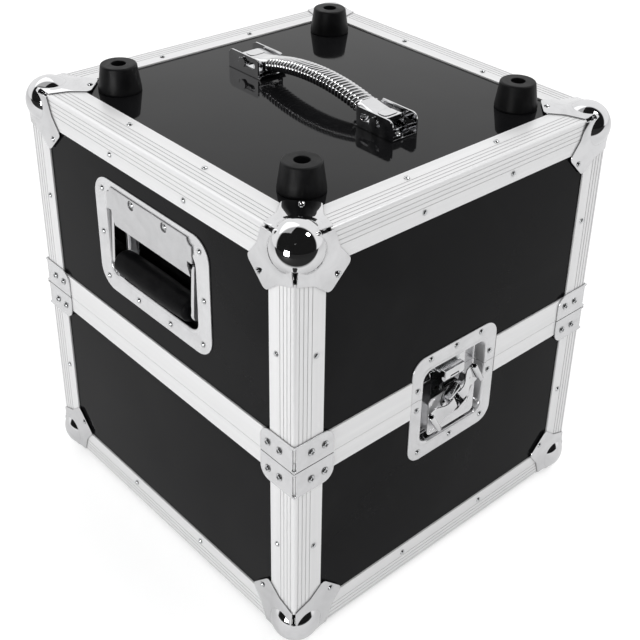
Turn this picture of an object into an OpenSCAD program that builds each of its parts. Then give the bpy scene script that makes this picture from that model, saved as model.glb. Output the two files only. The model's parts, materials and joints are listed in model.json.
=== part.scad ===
// Record carrying case: laminated ply panels held in grooved aluminium extrusions,
// a lid that lifts off, a twist latch at the front and back, a coil-wound strap
// handle on top and a sprung grip handle sunk in the left wall.
// Z is up, the front faces -Y, and the case stands on its lower ball corners.

/* [Case] */
// Width of the case over its extrusions
case_w = 370; // [340:1:460]
// Depth of the case over its extrusions
case_d = 376; // [340:1:460]
// Height of the base, up to the split
base_h = 194; // [180:1:230]
// Height of the lid above the split
lid_h = 210; // [200:1:260]
// Thickness of the laminated ply
panel_t = 9; // [6.5:0.5:12]
// Air between the lid and the base
lid_gap = 0.3; // [0.2:0.05:0.5]

/* [Edge angles] */
// Width of each leg
leg_w = 30; // [26:1:36]
// Thickness of the extruded wall
leg_t = 1.5; // [1.2:0.1:2]
// Radius of the outer edge
edge_r = 3; // [2:0.25:3.5]
// Distance from one groove to the next
groove_pitch = 4.2; // [3.6:0.1:4.6]
// Width of a groove
groove_w = 0.9; // [0.5:0.1:1.4]
// Depth of a groove
groove_d = 0.35; // [0.2:0.05:0.5]
// Number of grooves in a leg
groove_n = 4; // [2:1:4]
// Where a bar ends, from the corner of the case
bar_cut = 35; // [32:0.5:35.5]

/* [Closure rails] */
// Height of the base's outer strip
base_strip = 16; // [12:0.5:22]
// Height of the lid's outer strip
lid_strip = 23; // [16:0.5:25]
// Thickness of the base rail's web
web_t = 3; // [2:0.5:4]
// Height of the inner flanges, from the split
inner_strip = 15; // [10:0.5:18]
// Thickness of the tongue
tongue_t = 2.5; // [2:0.1:3]
// Height of the tongue
tongue_h = 7; // [5:0.5:7.5]
// Height of the lid's grooved rail
rail_block = 9; // [8.5:0.5:11]

/* [Ball corners] */
// Radius of the ball
ball_r = 22; // [20:0.5:23]
// Depth of the ball's centre behind each face
ball_inset = 14.5; // [13:0.5:15.5]
// Radius of the pressed step round the ball
step_r = 19; // [18.5:0.25:20]
// Height of that step
step_h = 2.2; // [1.6:0.1:3]
// Thickness of the pressed steel
ball_t = 1.2; // [1:0.1:1.5]
// Reach of each petal along the edge of the case
petal_edge = 37; // [36.5:0.5:40]
// Reach of each petal's lobe
petal_lobe = 53; // [50:0.5:56]
// Width of the slit between two petals
petal_slit = 3.2; // [2:0.2:4]

/* [Split brackets] */
// Reach of a bracket round each corner
bracket_reach = 41; // [38:0.5:46]
// Height of one half of a bracket
bracket_h = 26; // [24:0.5:30]
// Thickness of the bracket
bracket_t = 1.5; // [1:0.1:2]
// Radius of the bracket's outer corners
bracket_r = 11; // [6:0.5:12]
// Width of the slit down its fold
bracket_slit = 2.6; // [1.5:0.1:3.4]
// Radius of a screw head
screw_r = 3; // [2.5:0.1:3.4]

/* [Rivets] */
// Radius of a rivet head
rivet_r = 2.5; // [2:0.1:3]
// Distance of the angles' rivets from the outer edge
rivet_in = 21.5; // [20:0.5:23]
// Distance of these rivets from the middle of a side
rivet_x = 53; // [40:1:70]
// Height of the base posts' rivets
base_rivet_z = 103; // [70:1:130]
// Height of the lid posts' rivets above the split
lid_rivet_z = 104; // [70:1:130]

/* [Latch] */
// Width of the dish's flange
latch_w = 108; // [104:0.5:116]
// Reach of the flange below the split
latch_low = 68; // [66:0.5:76]
// Reach of the flange above the split
latch_high = 43; // [41:0.5:50]
// Width of the dish's mouth
mouth_w = 79; // [77:0.5:84]
// Reach of the mouth below the split
mouth_low = 51; // [50:0.5:54]
// Reach of the mouth above the split
mouth_high = 26; // [25.5:0.5:28]
// Depth of the dish behind the wall's face
dish_depth = 12; // [11.5:0.5:14]
// Thickness of the pressed dishes
dish_t = 1.2; // [1:0.1:1.4]
// Depth of the rotor's axis below the split
rotor_low = 16; // [15:0.25:17]
// Radius of the rotor's disc
rotor_r = 14.5; // [14.3:0.1:15]
// Radius of the crank pin's circle
crank_r = 4; // [3:0.25:4]
// Length of the rolled end of a wing
curl_len = 28; // [24:1:28]
// Radius of the rolls on the wings
curl_r = 3.2; // [2.8:0.1:3.3]
// Reach of a wing from the rotor's axis to the middle of its rolled end
wing_reach = 31; // [28:0.5:31.5]
// Angle of the wings above level, as the latch stands
wing_turn = 30; // [25:1:35]
// Width of the hook
hook_w = 24; // [20:1:26]

/* [Top handle] */
// Distance of the brackets' inner ends from the middle
strap_in = 67; // [64:1:72]
// Length of a bracket
strap_bracket = 44; // [40:1:48]
// Width of a bracket
strap_bracket_w = 30; // [29:1:34]
// Height of a bracket's walls
strap_bracket_h = 19; // [17:0.5:22]
// Length of the slots that the pins slide in
strap_slot = 24; // [20:0.5:26]
// Radius of the pins
strap_pin_r = 3; // [2.5:0.1:3.2]
// Travel of the strap either way
strap_play = 4; // [2:0.5:4]
// Radius of the handle's arch
arch_r = 240; // [200:5:320]
// Height of the middle of the coil above the panel
arch_rise = 22.2; // [21:0.2:26]
// Half the length of the coil
coil_half = 62; // [54:1:63]
// Width of the coil
coil_w = 23; // [21:0.5:26]
// Thickness of the coil
coil_h = 12.5; // [11:0.5:14]
// Number of turns
coil_turns = 36; // [30:1:40]
// Depth of the groove between the coil's turns
coil_groove = 1.7; // [1:0.1:2]
// Width of the spring steel strap
strip_w = 17; // [14:0.5:18]
// Thickness of the strap
strip_t = 1.6; // [1.2:0.1:2.4]

/* [Side handle] */
// Width of the dish's flange
side_w = 166; // [160:1:176]
// Height of the flange
side_h = 113; // [110:1:120]
// Height of the flange's lower edge above the split
side_low = 49; // [46:1:54]
// Width of the mouth
side_mouth_w = 129; // [127:1:134]
// Height of the mouth
side_mouth_h = 73.5; // [73:0.5:78]
// Height of the mouth's lower edge above that of the flange
side_mouth_low = 19.5; // [18:0.5:21]
// Depth of the dish behind the wall's face
side_depth = 18; // [17.5:0.5:22]
// Radius of the grip
grip_r = 12.3; // [11:0.1:12.4]
// Half the length of the grip
grip_half = 54; // [48:0.5:55]
// Distance from the pivot down to the grip
bail_drop = 44; // [42:0.5:45]
// Radius of the bail's rod
bail_r = 4; // [3.5:0.1:4]
// Thickness of the hinge plate
hinge_t = 1.5; // [1.2:0.1:2]

/* [Feet and lining] */
// Distance of the feet from the sides of the case
foot_in_x = 59; // [53:1:70]
// Distance of the feet from the front and back
foot_in_y = 62; // [53:1:70]
// Radius of a foot at the lid
foot_r = 19.5; // [17:0.5:22]
// Radius of a foot at its end
foot_end_r = 16.5; // [15:0.5:18]
// Height of a foot
foot_h = 25; // [18:0.5:30]
// Radius of the hole in a foot
foot_hole_r = 6.5; // [6:0.1:7.5]
// Thickness of the foam pads
foam_t = 10; // [5:1:15]

/* [Hidden] */
round_fn = 32; // smoothness of the turned parts
aluminium = "gainsboro";
steel = "silver";
laminate = [0.09, 0.09, 0.1];

half_w = case_w/2;
half_d = case_d/2;
case_h = base_h + lid_h;
lid_z = base_h + lid_gap; // underside of the lid's rails
ball_proud = ball_r - ball_inset;
panel_back = leg_t + panel_t; // depth of a panel's inner face
rail_depth = panel_back + leg_t;
fit = 0.3; // usual clearance between loose parts
pin_fit = 0.05; // clearance of a pin in its hole

tongue_in = 5; // depth of the tongue behind the face
bar_x = case_w - 2*bar_cut;
bar_y = case_d - 2*bar_cut;
ball_notch = ball_inset + 2; // corner cut from the panels
petal_width = 18; // where a petal starts to widen
screw_in = [16.5, 31]; // distances of a bracket's two screws from the corner

latch_mid = (latch_high - latch_low)/2; // middle of the flange from the split
mouth_mid = (mouth_high - mouth_low)/2;
latch_corner = 15;
mouth_corner = 6;
plate_face = -0.9; // latch plate's front face
disc_face = plate_face + fit; // underside of the rotor's disc
disc_t = 1.1;
barrel_c = disc_face + disc_t + 0.4 + curl_r; // height of the wings' hinges
barrel_off = 5.5; // distance of these hinges from the rotor's axis
barrel_len = 18;
lug_t = 2;
wing_t = 1.4;
draw_face = -3.3; // front of the draw plate
draw_t = 1.4;
draw_foot = 12; // reach of the draw plate below the rotor's axis
hook_low = 6; // height of the hook's hinge above the split
hook_hinge_c = -2.0;
hook_roll = 2.3;
hook_rise = 9.5; // length of the hook above its hinge
hook_t = 1.4;
lip_c = -6.0; // outer edge of the keeper's lip
lip_t = 1.5;
lip_low = 11.5; // height of the lip above the split
keeper_w = 34;
keeper_h = 11;
latch_plate_w = 60;
latch_plate_up = 8; // reach of the plate above the rotor's axis
latch_plate_down = 32;
latch_rivet_a = 21; // the plate's rivets, from the rotor's axis
latch_rivet_drop = -15;

panel_top = case_h - leg_t;
slot_end = 15; // from a slot's outer end to the bracket's
slot_out = strap_in + strap_bracket - slot_end;
slot_z = 8; // lower edge of a slot above the panel
slot_room = 0.25; // air over and under a pin in its slot
pin_y = slot_out - strap_play - strap_pin_r; // the pins' distance from the middle
pin_z = slot_z + strap_pin_r + slot_room;
arch_z = arch_rise - arch_r; // centre of the arch, from the panel

side_z = base_h + side_low;
side_corner = 20;
side_mouth_corner = 7;
side_rivet_a = 24; // the middle rivets, from the dish's middle
side_rivet_top = 10; // the upper ones, from its upper edge
side_mid = side_z + side_h/2;
side_mouth_z = side_z + side_mouth_low;
side_mouth_mid = side_mouth_z + side_mouth_h/2;
pivot_drop = 15;
pivot_z = side_mouth_z + side_mouth_h - pivot_drop; // height of the bail's pivot
pivot_c = -7; // its depth
grip_c = -5.4; // middle of the grip, from the wall's face
arm_t = 4;
arm_a = 59; // distance of the arms' middle from the dish's middle
ear_a = 48; // where the hinge plate's ears stand
ear_t = 2.5;
hinge_drop = 8; // reach of the hinge plate below the pivot

// ---- helpers ----

// Points along an arc about [x, y]
function arc(x, y, r, from, to, n = 6) =
    [for (i = [0:n]) [x + r*cos(from + (to - from)*i/n), y + r*sin(from + (to - from)*i/n)]];

// Outline of a rectangle w by h about the origin, with rounded corners
function round_box(w, h, r, n = 6) = concat(
    arc(w/2 - r, h/2 - r, r, 0, 90, n), arc(r - w/2, h/2 - r, r, 90, 180, n),
    arc(r - w/2, r - h/2, r, 180, 270, n), arc(w/2 - r, r - h/2, r, 270, 360, n));

// Stands the case on its ball corners
module raised() {
    translate([0, 0, ball_proud]) children();
}

module both_x() {
    children();
    mirror([1, 0, 0]) children();
}

module both_y() {
    children();
    mirror([0, 1, 0]) children();
}

module four_corners() {
    both_x() both_y() children();
}

// Turns a drawing of the base's bottom into the lid's top
module at_top() {
    translate([0, 0, case_h]) mirror([0, 0, 1]) children();
}

// Puts a drawing on a wall: x along it, y up, z outwards; 0 is the front, 3 the left
module on_wall(k) {
    turn = 90*k;
    away = k % 2 == 0 ? half_d : half_w;
    rotate([0, 0, turn]) translate([0, -away, 0]) rotate([90, 0, 0]) children();
}

// A plate with a given outline, from depth c up, t thick
module sheet(c, t) {
    translate([0, 0, c]) linear_extrude(t) children();
}

// ---- panels ----

module corner_notches() {
    four_corners() translate([-half_w - 1, -half_d - 1, -1]) cube(ball_notch + 1);
}

module floor_panel() {
    difference() {
        translate([leg_t - half_w, leg_t - half_d, leg_t])
            cube([case_w - 2*leg_t, case_d - 2*leg_t, panel_t]);
        corner_notches();
    }
}

// Front or back panel between two heights, clear of the ball corners
module end_panel(z0, z1) {
    translate([leg_t - half_w, leg_t - half_d, z0]) cube([case_w - 2*leg_t, panel_t, z1 - z0]);
}

module side_panel(z0, z1) {
    translate([leg_t - half_w, panel_back - half_d, z0])
        cube([panel_t, case_d - 2*panel_back, z1 - z0]);
}

// Hole for the latch dish's tub
module latch_hole() {
    translate([0, base_h + mouth_mid, -2*rail_depth]) linear_extrude(2*rail_depth + 5)
        polygon(round_box(mouth_w + 2*(dish_t + fit), mouth_high + mouth_low + 2*(dish_t + fit),
            mouth_corner));
}

// Room for the dish where it crosses the closure rails
module latch_room() {
    on_wall(0) {
        translate([-latch_w/2 - fit, base_h - latch_low, -leg_t - 0.01])
            cube([latch_w + 2*fit, latch_low + latch_high, 5]);
        translate([-mouth_w/2 - dish_t - fit, base_h - mouth_low, -2*rail_depth])
            cube([mouth_w + 2*(dish_t + fit), mouth_low + mouth_high, 2*rail_depth + 5]);
    }
}

module base_end_panel() {
    difference() {
        end_panel(panel_back, base_h - web_t);
        corner_notches();
        on_wall(0) latch_hole();
    }
}

module lid_end_panel() {
    difference() {
        end_panel(lid_z + rail_block, case_h - panel_back);
        at_top() corner_notches();
        on_wall(0) latch_hole();
    }
}

module base_side_panel() {
    difference() {
        side_panel(panel_back, base_h - web_t);
        corner_notches();
    }
}

module lid_side_panel() {
    difference() {
        side_panel(lid_z + rail_block, case_h - panel_back);
        at_top() corner_notches();
    }
}

module base_bottom_panel() {
    color(laminate) raised() floor_panel();
}

module base_front_panel() {
    color(laminate) raised() base_end_panel();
}

module base_back_panel() {
    color(laminate) raised() mirror([0, 1, 0]) base_end_panel();
}

module base_left_panel() {
    color(laminate) raised() base_side_panel();
}

module base_right_panel() {
    color(laminate) raised() mirror([1, 0, 0]) base_side_panel();
}

module lid_top_panel() {
    color(laminate) raised() at_top() floor_panel();
}

module lid_front_panel() {
    color(laminate) raised() lid_end_panel();
}

module lid_back_panel() {
    color(laminate) raised() mirror([0, 1, 0]) lid_end_panel();
}

module lid_left_panel() {
    color(laminate) raised() difference() {
        lid_side_panel();
        on_wall(3) translate([0, side_mouth_mid, -2*side_depth]) linear_extrude(2*side_depth + 5)
            polygon(round_box(side_mouth_w + 2*(dish_t + fit), side_mouth_h + 2*(dish_t + fit),
                side_mouth_corner + 1));
    }
}

module lid_right_panel() {
    color(laminate) raised() mirror([1, 0, 0]) lid_side_panel();
}

// ---- edge angles ----

// Section of an edge angle, with its outer corner at the origin
module angle_section() {
    difference() {
        polygon(concat(arc(edge_r, edge_r, edge_r, 180, 270),
            [[leg_w, 0], [leg_w, leg_t], [leg_t, leg_t], [leg_t, leg_w], [0, leg_w]]));
        for (i = [0:groove_n - 1]) {
            along = edge_r + 1 + i*groove_pitch;
            translate([along, -1]) square([groove_w, 1 + groove_d]);
            translate([-1, along]) square([1 + groove_d, groove_w]);
        }
    }
}

module angles_x() {
    both_y() translate([-bar_x/2, -half_d, 0]) rotate([90, 0, 90])
        linear_extrude(bar_x) angle_section();
}

module angles_y() {
    both_x() translate([-half_w, bar_y/2, 0]) rotate([90, 0, 0])
        linear_extrude(bar_y) angle_section();
}

module posts(z0, z1) {
    four_corners() translate([-half_w, -half_d, z0]) linear_extrude(z1 - z0) angle_section();
}

module base_edge_angles_x() {
    color(aluminium) raised() angles_x();
}

module base_edge_angles_y() {
    color(aluminium) raised() angles_y();
}

module base_posts() {
    color(aluminium) raised() posts(bar_cut, base_h - web_t);
}

module lid_edge_angles_x() {
    color(aluminium) raised() at_top() angles_x();
}

module lid_edge_angles_y() {
    color(aluminium) raised() at_top() angles_y();
}

module lid_posts() {
    color(aluminium) raised() posts(lid_z + rail_block, case_h - bar_cut);
}

// ---- closure rails ----

// Sections: x is the depth behind the face, y the height from the rail's mating edge
module tongue_section() {
    translate([0, -web_t]) square([rail_depth, web_t]);
    translate([panel_back, -inner_strip]) square([leg_t, inner_strip]);
    translate([tongue_in, -web_t]) square([tongue_t, web_t + tongue_h]);
}

module groove_section() {
    difference() {
        union() {
            square([rail_depth, rail_block]);
            translate([panel_back, 0]) square([leg_t, rail_block + inner_strip]);
        }
        translate([tongue_in - fit, -1]) square([tongue_t + 2*fit, 1 + tongue_h + fit]);
    }
}

// A rail along X at the front, mitred at both ends
module mitred_x(z) {
    intersection() {
        translate([-half_w, -half_d, z]) rotate([90, 0, 90]) linear_extrude(case_w) children();
        linear_extrude(2*case_h) polygon([[-half_w, -half_d], [half_w, -half_d],
            [half_w - leg_w, leg_w - half_d], [leg_w - half_w, leg_w - half_d]]);
    }
}

// A rail along Y at the left, mitred at both ends
module mitred_y(z) {
    intersection() {
        translate([-half_w, half_d, z]) rotate([90, 0, 0]) linear_extrude(case_d) children();
        linear_extrude(2*case_h) polygon([[-half_w, -half_d], [-half_w, half_d],
            [leg_w - half_w, half_d - leg_w], [leg_w - half_w, leg_w - half_d]]);
    }
}

// The strip that shows on the wall, between the posts
module strip_x(z, h) {
    translate([leg_w - half_w, -half_d, z]) cube([case_w - 2*leg_w, leg_t, h]);
}

module strip_y(z, h) {
    translate([-half_w, leg_w - half_d, z]) cube([leg_t, case_d - 2*leg_w, h]);
}

module base_tongue_rails_x() {
    color(aluminium) raised() both_y() difference() {
        union() {
            mitred_x(base_h) tongue_section();
            strip_x(base_h - base_strip, base_strip);
        }
        latch_room();
    }
}

module base_tongue_rails_y() {
    color(aluminium) raised() both_x() {
        mitred_y(base_h) tongue_section();
        strip_y(base_h - base_strip, base_strip);
    }
}

module lid_groove_rails_x() {
    color(aluminium) raised() both_y() difference() {
        union() {
            mitred_x(lid_z) groove_section();
            strip_x(lid_z, lid_strip);
        }
        latch_room();
    }
}

module lid_groove_rails_y() {
    color(aluminium) raised() both_x() {
        mitred_y(lid_z) groove_section();
        strip_y(lid_z, lid_strip);
    }
}

// ---- ball corners ----

// Turns a drawing on the z = 0 face to all three faces that meet at the corner
module three_faces() {
    for (k = [0:2]) rotate(a = 120*k, v = [1, 1, 1]) children();
}

// Half of a petal's outline, from the edge of the case to its lobe
function petal_half(slit) = [[slit, petal_edge], [petal_width, petal_edge + 6], [29, petal_lobe - 3]];

module petal() {
    slit = petal_slit/2;
    lobe = petal_lobe - 14;
    reach = 20; // inner ends, hidden under the step
    polygon(concat([[slit, reach]], petal_half(slit),
        arc(lobe - 5, petal_lobe - 4, 4, 90, 45, 3), arc(petal_lobe - 4, lobe - 5, 4, 45, 0, 3),
        [for (i = [2:-1:0]) [petal_half(slit)[i][1], petal_half(slit)[i][0]]], [[reach, slit]]));
}

// One corner; the case lies towards +x, +y and +z
module ball_corner() {
    middle = [ball_inset, ball_inset, ball_inset];
    room = 3*ball_r;
    difference() {
        union() {
            translate(middle) sphere(ball_r, $fn = 48);
            three_faces() intersection() {
                translate([ball_inset, ball_inset, -step_h])
                    cylinder(h = step_h + 1, r1 = step_r - 2.5, r2 = step_r + 1.1, $fn = 48);
                translate([-ball_t, -ball_t, -step_h - 1]) cube([room, room, step_h + 1]);
            }
            three_faces() sheet(-ball_t, ball_t) petal();
        }
        translate(middle) sphere(ball_r - ball_t, $fn = 48);
        difference() {
            cube(room);
            translate([-1, -1, -1]) cube(ball_inset + 1);
        }
    }
}

module base_ball_corners() {
    color(steel) raised() four_corners() translate([-half_w, -half_d, 0]) ball_corner();
}

module lid_ball_corners() {
    color(steel) raised() at_top() four_corners() translate([-half_w, -half_d, 0]) ball_corner();
}

// ---- split brackets ----

// One half of a bracket below the split, at the front left corner
module bracket_half() {
    gap = lid_gap/2;
    difference() {
        for (k = [0, 1]) mirror([k, -k, 0]) rotate([90, 0, 0]) linear_extrude(bracket_t)
            polygon(concat([[-bracket_t, -gap], [-bracket_t, -bracket_h]],
                arc(bracket_reach - bracket_r, bracket_r - bracket_h, bracket_r, 270, 360),
                [[bracket_reach, -gap]]));
        translate([-bracket_t - 1, -bracket_t - 1, 2 - bracket_h])
            cube([1 + bracket_t + bracket_slit/2, 1 + bracket_t + bracket_slit/2,
                bracket_h - gap - 4]);
    }
}

module base_split_brackets() {
    color(steel) raised() four_corners() translate([-half_w, -half_d, base_h]) bracket_half();
}

module lid_split_brackets() {
    color(steel) raised() four_corners() translate([-half_w, -half_d, lid_z])
        mirror([0, 0, 1]) bracket_half();
}

// ---- rivets and screws ----

module rivet() {
    rotate_extrude($fn = 24) polygon([[0, 0], [rivet_r, 0], [0.92*rivet_r, 0.3*rivet_r],
        [0.6*rivet_r, 0.58*rivet_r], [0, 0.68*rivet_r]]);
}

module rivets_at(places, c = 0) {
    for (p = places) translate([p[0], p[1], c]) rivet();
}

function mirrored(x, y) = [[-x, y], [x, y]];

// Rivets of one wall's angles and ball corners; z runs up from the bottom edge
module wall_rivets(half, post_z) {
    rivets_at(mirrored(rivet_x, rivet_in));
    rivets_at(mirrored(half - rivet_in, post_z));
    rivets_at(mirrored(half - 41, 41), ball_t);
}

module edge_rivets(post_z) {
    for (k = [0:3]) on_wall(k) wall_rivets(k % 2 == 0 ? half_w : half_d, post_z);
    rotate([180, 0, 0]) both_y() {
        rivets_at(mirrored(rivet_x, half_d - rivet_in));
        rivets_at(mirrored(half_w - rivet_in, rivet_x));
        rivets_at(mirrored(half_w - 41, half_d - 41), ball_t);
    }
}

flange_top = dish_t - leg_t; // outer face of the dishes' flanges

module base_rivets() {
    color(steel) raised() {
        edge_rivets(base_rivet_z);
        for (k = [0, 2]) on_wall(k) {
            rivets_at(mirrored(latch_w/2 - 7.5, base_h - 10), flange_top);
            rivets_at(mirrored(latch_w/2 - 12.5, base_h - latch_low + 9), flange_top);
            rivets_at([[0, base_h - latch_low + 8]], flange_top);
        }
    }
}

module lid_rivets() {
    color(steel) raised() {
        at_top() edge_rivets(lid_h - lid_rivet_z);
        for (k = [0, 2]) on_wall(k) {
            rivets_at(mirrored(latch_w/2 - 7.5, base_h + 11), flange_top);
            rivets_at(mirrored(32, base_h + latch_high - 5), flange_top);
            rivets_at([[0, base_h + latch_high - 5]], flange_top);
        }
        on_wall(3) {
            rivets_at(mirrored(71, side_z + side_h - 12), flange_top);
            rivets_at(mirrored(71, side_z + 12), flange_top);
            rivets_at(mirrored(74.5, side_mid), flange_top);
            rivets_at(mirrored(side_rivet_a, side_z + side_h - side_rivet_top), flange_top);
            rivets_at(mirrored(side_rivet_a, side_z + 8), flange_top);
        }
    }
}

// Pan head with a cross recess
module screw() {
    difference() {
        rotate_extrude($fn = 24) polygon([[0, 0], [screw_r, 0], [screw_r, 0.25*screw_r],
            [0.75*screw_r, 0.55*screw_r], [0, 0.65*screw_r]]);
        for (turn = [0, 90]) rotate([0, 0, turn]) translate([0, 0, screw_r])
            cube([1.2*screw_r, 0.28*screw_r, 1.4*screw_r], center = true);
    }
}

module wall_screws(half, z) {
    for (x = screw_in) for (p = mirrored(half - x, z)) translate([p[0], p[1], bracket_t]) screw();
}

module base_bracket_screws() {
    color(steel) raised() for (k = [0:3]) on_wall(k)
        wall_screws(k % 2 == 0 ? half_w : half_d, base_h - bracket_h/2 - 0.5);
}

module lid_bracket_screws() {
    color(steel) raised() for (k = [0:3]) on_wall(k)
        wall_screws(k % 2 == 0 ? half_w : half_d, lid_z + bracket_h/2 + 0.5);
}

// ---- lining ----

module foam_pad() {
    translate([panel_back - half_w, panel_back - half_d, panel_back])
        cube([case_w - 2*panel_back, case_d - 2*panel_back, foam_t]);
}

module base_foam_pad() {
    color("dimgray") raised() foam_pad();
}

module lid_foam_pad() {
    color("dimgray") raised() at_top() foam_pad();
}

// ---- latch; drawn with y = 0 at the split, z outwards ----

module latch_dish() {
    difference() {
        union() {
            translate([0, latch_mid]) sheet(-leg_t, dish_t)
                polygon(round_box(latch_w, latch_high + latch_low, latch_corner));
            translate([0, mouth_mid]) sheet(-dish_depth - dish_t, dish_depth + dish_t - leg_t + 0.5)
                polygon(round_box(mouth_w + 2*dish_t, mouth_high + mouth_low + 2*dish_t,
                    mouth_corner + dish_t));
        }
        translate([0, mouth_mid]) sheet(-dish_depth, 2*dish_depth)
            polygon(round_box(mouth_w, mouth_high + mouth_low, mouth_corner));
    }
}

module lower_dish() {
    intersection() {
        latch_dish();
        translate([-latch_w, -2*latch_low, -latch_w/2]) cube([2*latch_w, 2*latch_low, latch_w]);
    }
}

module upper_dish() {
    intersection() {
        latch_dish();
        translate([-latch_w, lid_gap, -latch_w/2]) cube([2*latch_w, 2*latch_high, latch_w]);
    }
}

module on_latch(k) {
    raised() on_wall(k) translate([0, base_h, 0]) children();
}

module front_latch_dish() {
    color(steel) on_latch(0) lower_dish();
}

module back_latch_dish() {
    color(steel) on_latch(2) lower_dish();
}

module front_keeper_dish() {
    color(steel) on_latch(0) upper_dish();
}

module back_keeper_dish() {
    color(steel) on_latch(2) upper_dish();
}

// Pressed box that carries the rotor, open at its top and bottom
module latch_plate() {
    plate_mid = -rotor_low + (latch_plate_up - latch_plate_down)/2;
    plate_h = latch_plate_up + latch_plate_down;
    difference() {
        translate([0, plate_mid, 0]) {
            sheet(plate_face - dish_t, dish_t) polygon(round_box(latch_plate_w, plate_h, 5));
            both_x() translate([latch_plate_w/2 - dish_t, 6 - plate_h/2, -dish_depth])
                cube([dish_t, plate_h - 12, dish_depth + plate_face]);
        }
        translate([0, -rotor_low, -dish_depth]) cylinder(h = 2*dish_depth, r = 6 + 2*pin_fit + 0.05,
            $fn = round_fn);
    }
    for (x = latch_rivet_a*[-1, 1]) translate([x, latch_rivet_drop - rotor_low, plate_face]) rivet();
}

module front_latch_plate() {
    color(steel) on_latch(0) latch_plate();
}

module back_latch_plate() {
    color(steel) on_latch(2) latch_plate();
}

// Frame of the wings: x along the wings, y along their hinges, origin on the rotor's axis
module on_rotor() {
    translate([0, -rotor_low, 0]) rotate([0, 0, wing_turn]) children();
}

module rotor() {
    lug_y = barrel_len/2 + fit;
    pin_r = curl_r/2;
    on_rotor() {
        translate([0, 0, disc_face]) cylinder(h = disc_t, r = rotor_r, $fn = 48);
        for (side = [-1, 1]) {
            translate([0, side*(lug_y + lug_t/2), 0]) rotate([90, 0, 0])
                sheet(-lug_t/2, lug_t) polygon(concat(
                    arc(barrel_off, barrel_c, curl_r, 0, 90), arc(-barrel_off, barrel_c, curl_r, 90, 180),
                    [[-barrel_off - curl_r, disc_face + 0.4], [barrel_off + curl_r, disc_face + 0.4]]));
            translate([side*barrel_off, -lug_y - 0.5, barrel_c]) rotate([-90, 0, 0])
                cylinder(h = 2*lug_y + 1, r = pin_r, $fn = round_fn);
        }
    }
    translate([0, -rotor_low, draw_face + 0.2])
        cylinder(h = disc_face - draw_face, r = 6, $fn = round_fn);
    translate([0, -rotor_low - crank_r, draw_face - draw_t - 1.5])
        cylinder(h = draw_t + 2.5, r = 2.4, $fn = round_fn);
}

module front_latch_rotor() {
    color(steel) on_latch(0) rotor();
}

module back_latch_rotor() {
    color(steel) on_latch(2) rotor();
}

// Wing that points along +x of the rotor's frame, folded flat
module wing() {
    wide = barrel_len/2 - 0.1;
    leaf_top = barrel_c + curl_r;
    on_rotor() difference() {
        union() {
            sheet(leaf_top - wing_t, wing_t) polygon([[barrel_off, -wide], [12, -wide],
                [wing_reach - curl_r, 1 - curl_len/2], [wing_reach, 1 - curl_len/2],
                [wing_reach, curl_len/2 - 1], [wing_reach - curl_r, curl_len/2 - 1],
                [12, wide], [barrel_off, wide]]);
            translate([barrel_off, -barrel_len/2, barrel_c]) rotate([-90, 0, 0])
                cylinder(h = barrel_len, r = curl_r, $fn = round_fn);
            translate([wing_reach, -curl_len/2, barrel_c]) rotate([-90, 0, 0])
                cylinder(h = curl_len, r = curl_r, $fn = round_fn);
        }
        translate([barrel_off, -barrel_len, barrel_c]) rotate([-90, 0, 0])
            cylinder(h = 2*barrel_len, r = curl_r/2 + pin_fit, $fn = round_fn);
        translate([wing_reach, -curl_len, barrel_c]) rotate([-90, 0, 0])
            cylinder(h = 2*curl_len, r = curl_r - wing_t, $fn = round_fn);
    }
}

// The other wing, turned half round the rotor's axis
module wing_opposite() {
    translate([0, -rotor_low, 0]) rotate([0, 0, 180]) translate([0, rotor_low, 0]) wing();
}

module front_latch_wing_right() {
    color(steel) on_latch(0) wing();
}

module front_latch_wing_left() {
    color(steel) on_latch(0) wing_opposite();
}

module back_latch_wing_right() {
    color(steel) on_latch(2) wing();
}

module back_latch_wing_left() {
    color(steel) on_latch(2) wing_opposite();
}

// Flat plate that the crank pin moves up and down, with a knuckle for the hook
module draw_plate() {
    crank_room = crank_r*0.22; // slack for a crank that moves the plate by a sine
    slot_w = 2*(crank_r + 2.4 + 1);
    slot_h = 2*(2.4 + crank_room + 0.15);
    knuckle = 10;
    difference() {
        union() {
            sheet(draw_face - draw_t, draw_t) polygon([[-8, -rotor_low - draw_foot],
                [8, -rotor_low - draw_foot], [8, -rotor_low + 6], [hook_w/2 - 0.8, hook_low - 4],
                [0.8 - hook_w/2, hook_low - 4], [-8, -rotor_low + 6]]);
            translate([-knuckle/2, hook_low, hook_hinge_c]) rotate([0, 90, 0])
                cylinder(h = knuckle, r = hook_roll, $fn = round_fn);
            translate([-knuckle/2, 0, 0]) rotate([90, 0, 90]) linear_extrude(knuckle)
                polygon([[hook_low - 5, draw_face - draw_t], [hook_low - 5, draw_face],
                    [hook_low - 0.5, hook_hinge_c + 1], [hook_low, hook_hinge_c - 1.5]]);
        }
        translate([-slot_w/2, -rotor_low - crank_r - slot_h/2, -dish_depth])
            cube([slot_w, slot_h, dish_depth]);
        translate([-knuckle, hook_low, hook_hinge_c]) rotate([0, 90, 0])
            cylinder(h = 2*knuckle, r = hook_roll/2 + pin_fit, $fn = round_fn);
    }
}

module front_draw_plate() {
    color(steel) on_latch(0) draw_plate();
}

module back_draw_plate() {
    color(steel) on_latch(2) draw_plate();
}

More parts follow.
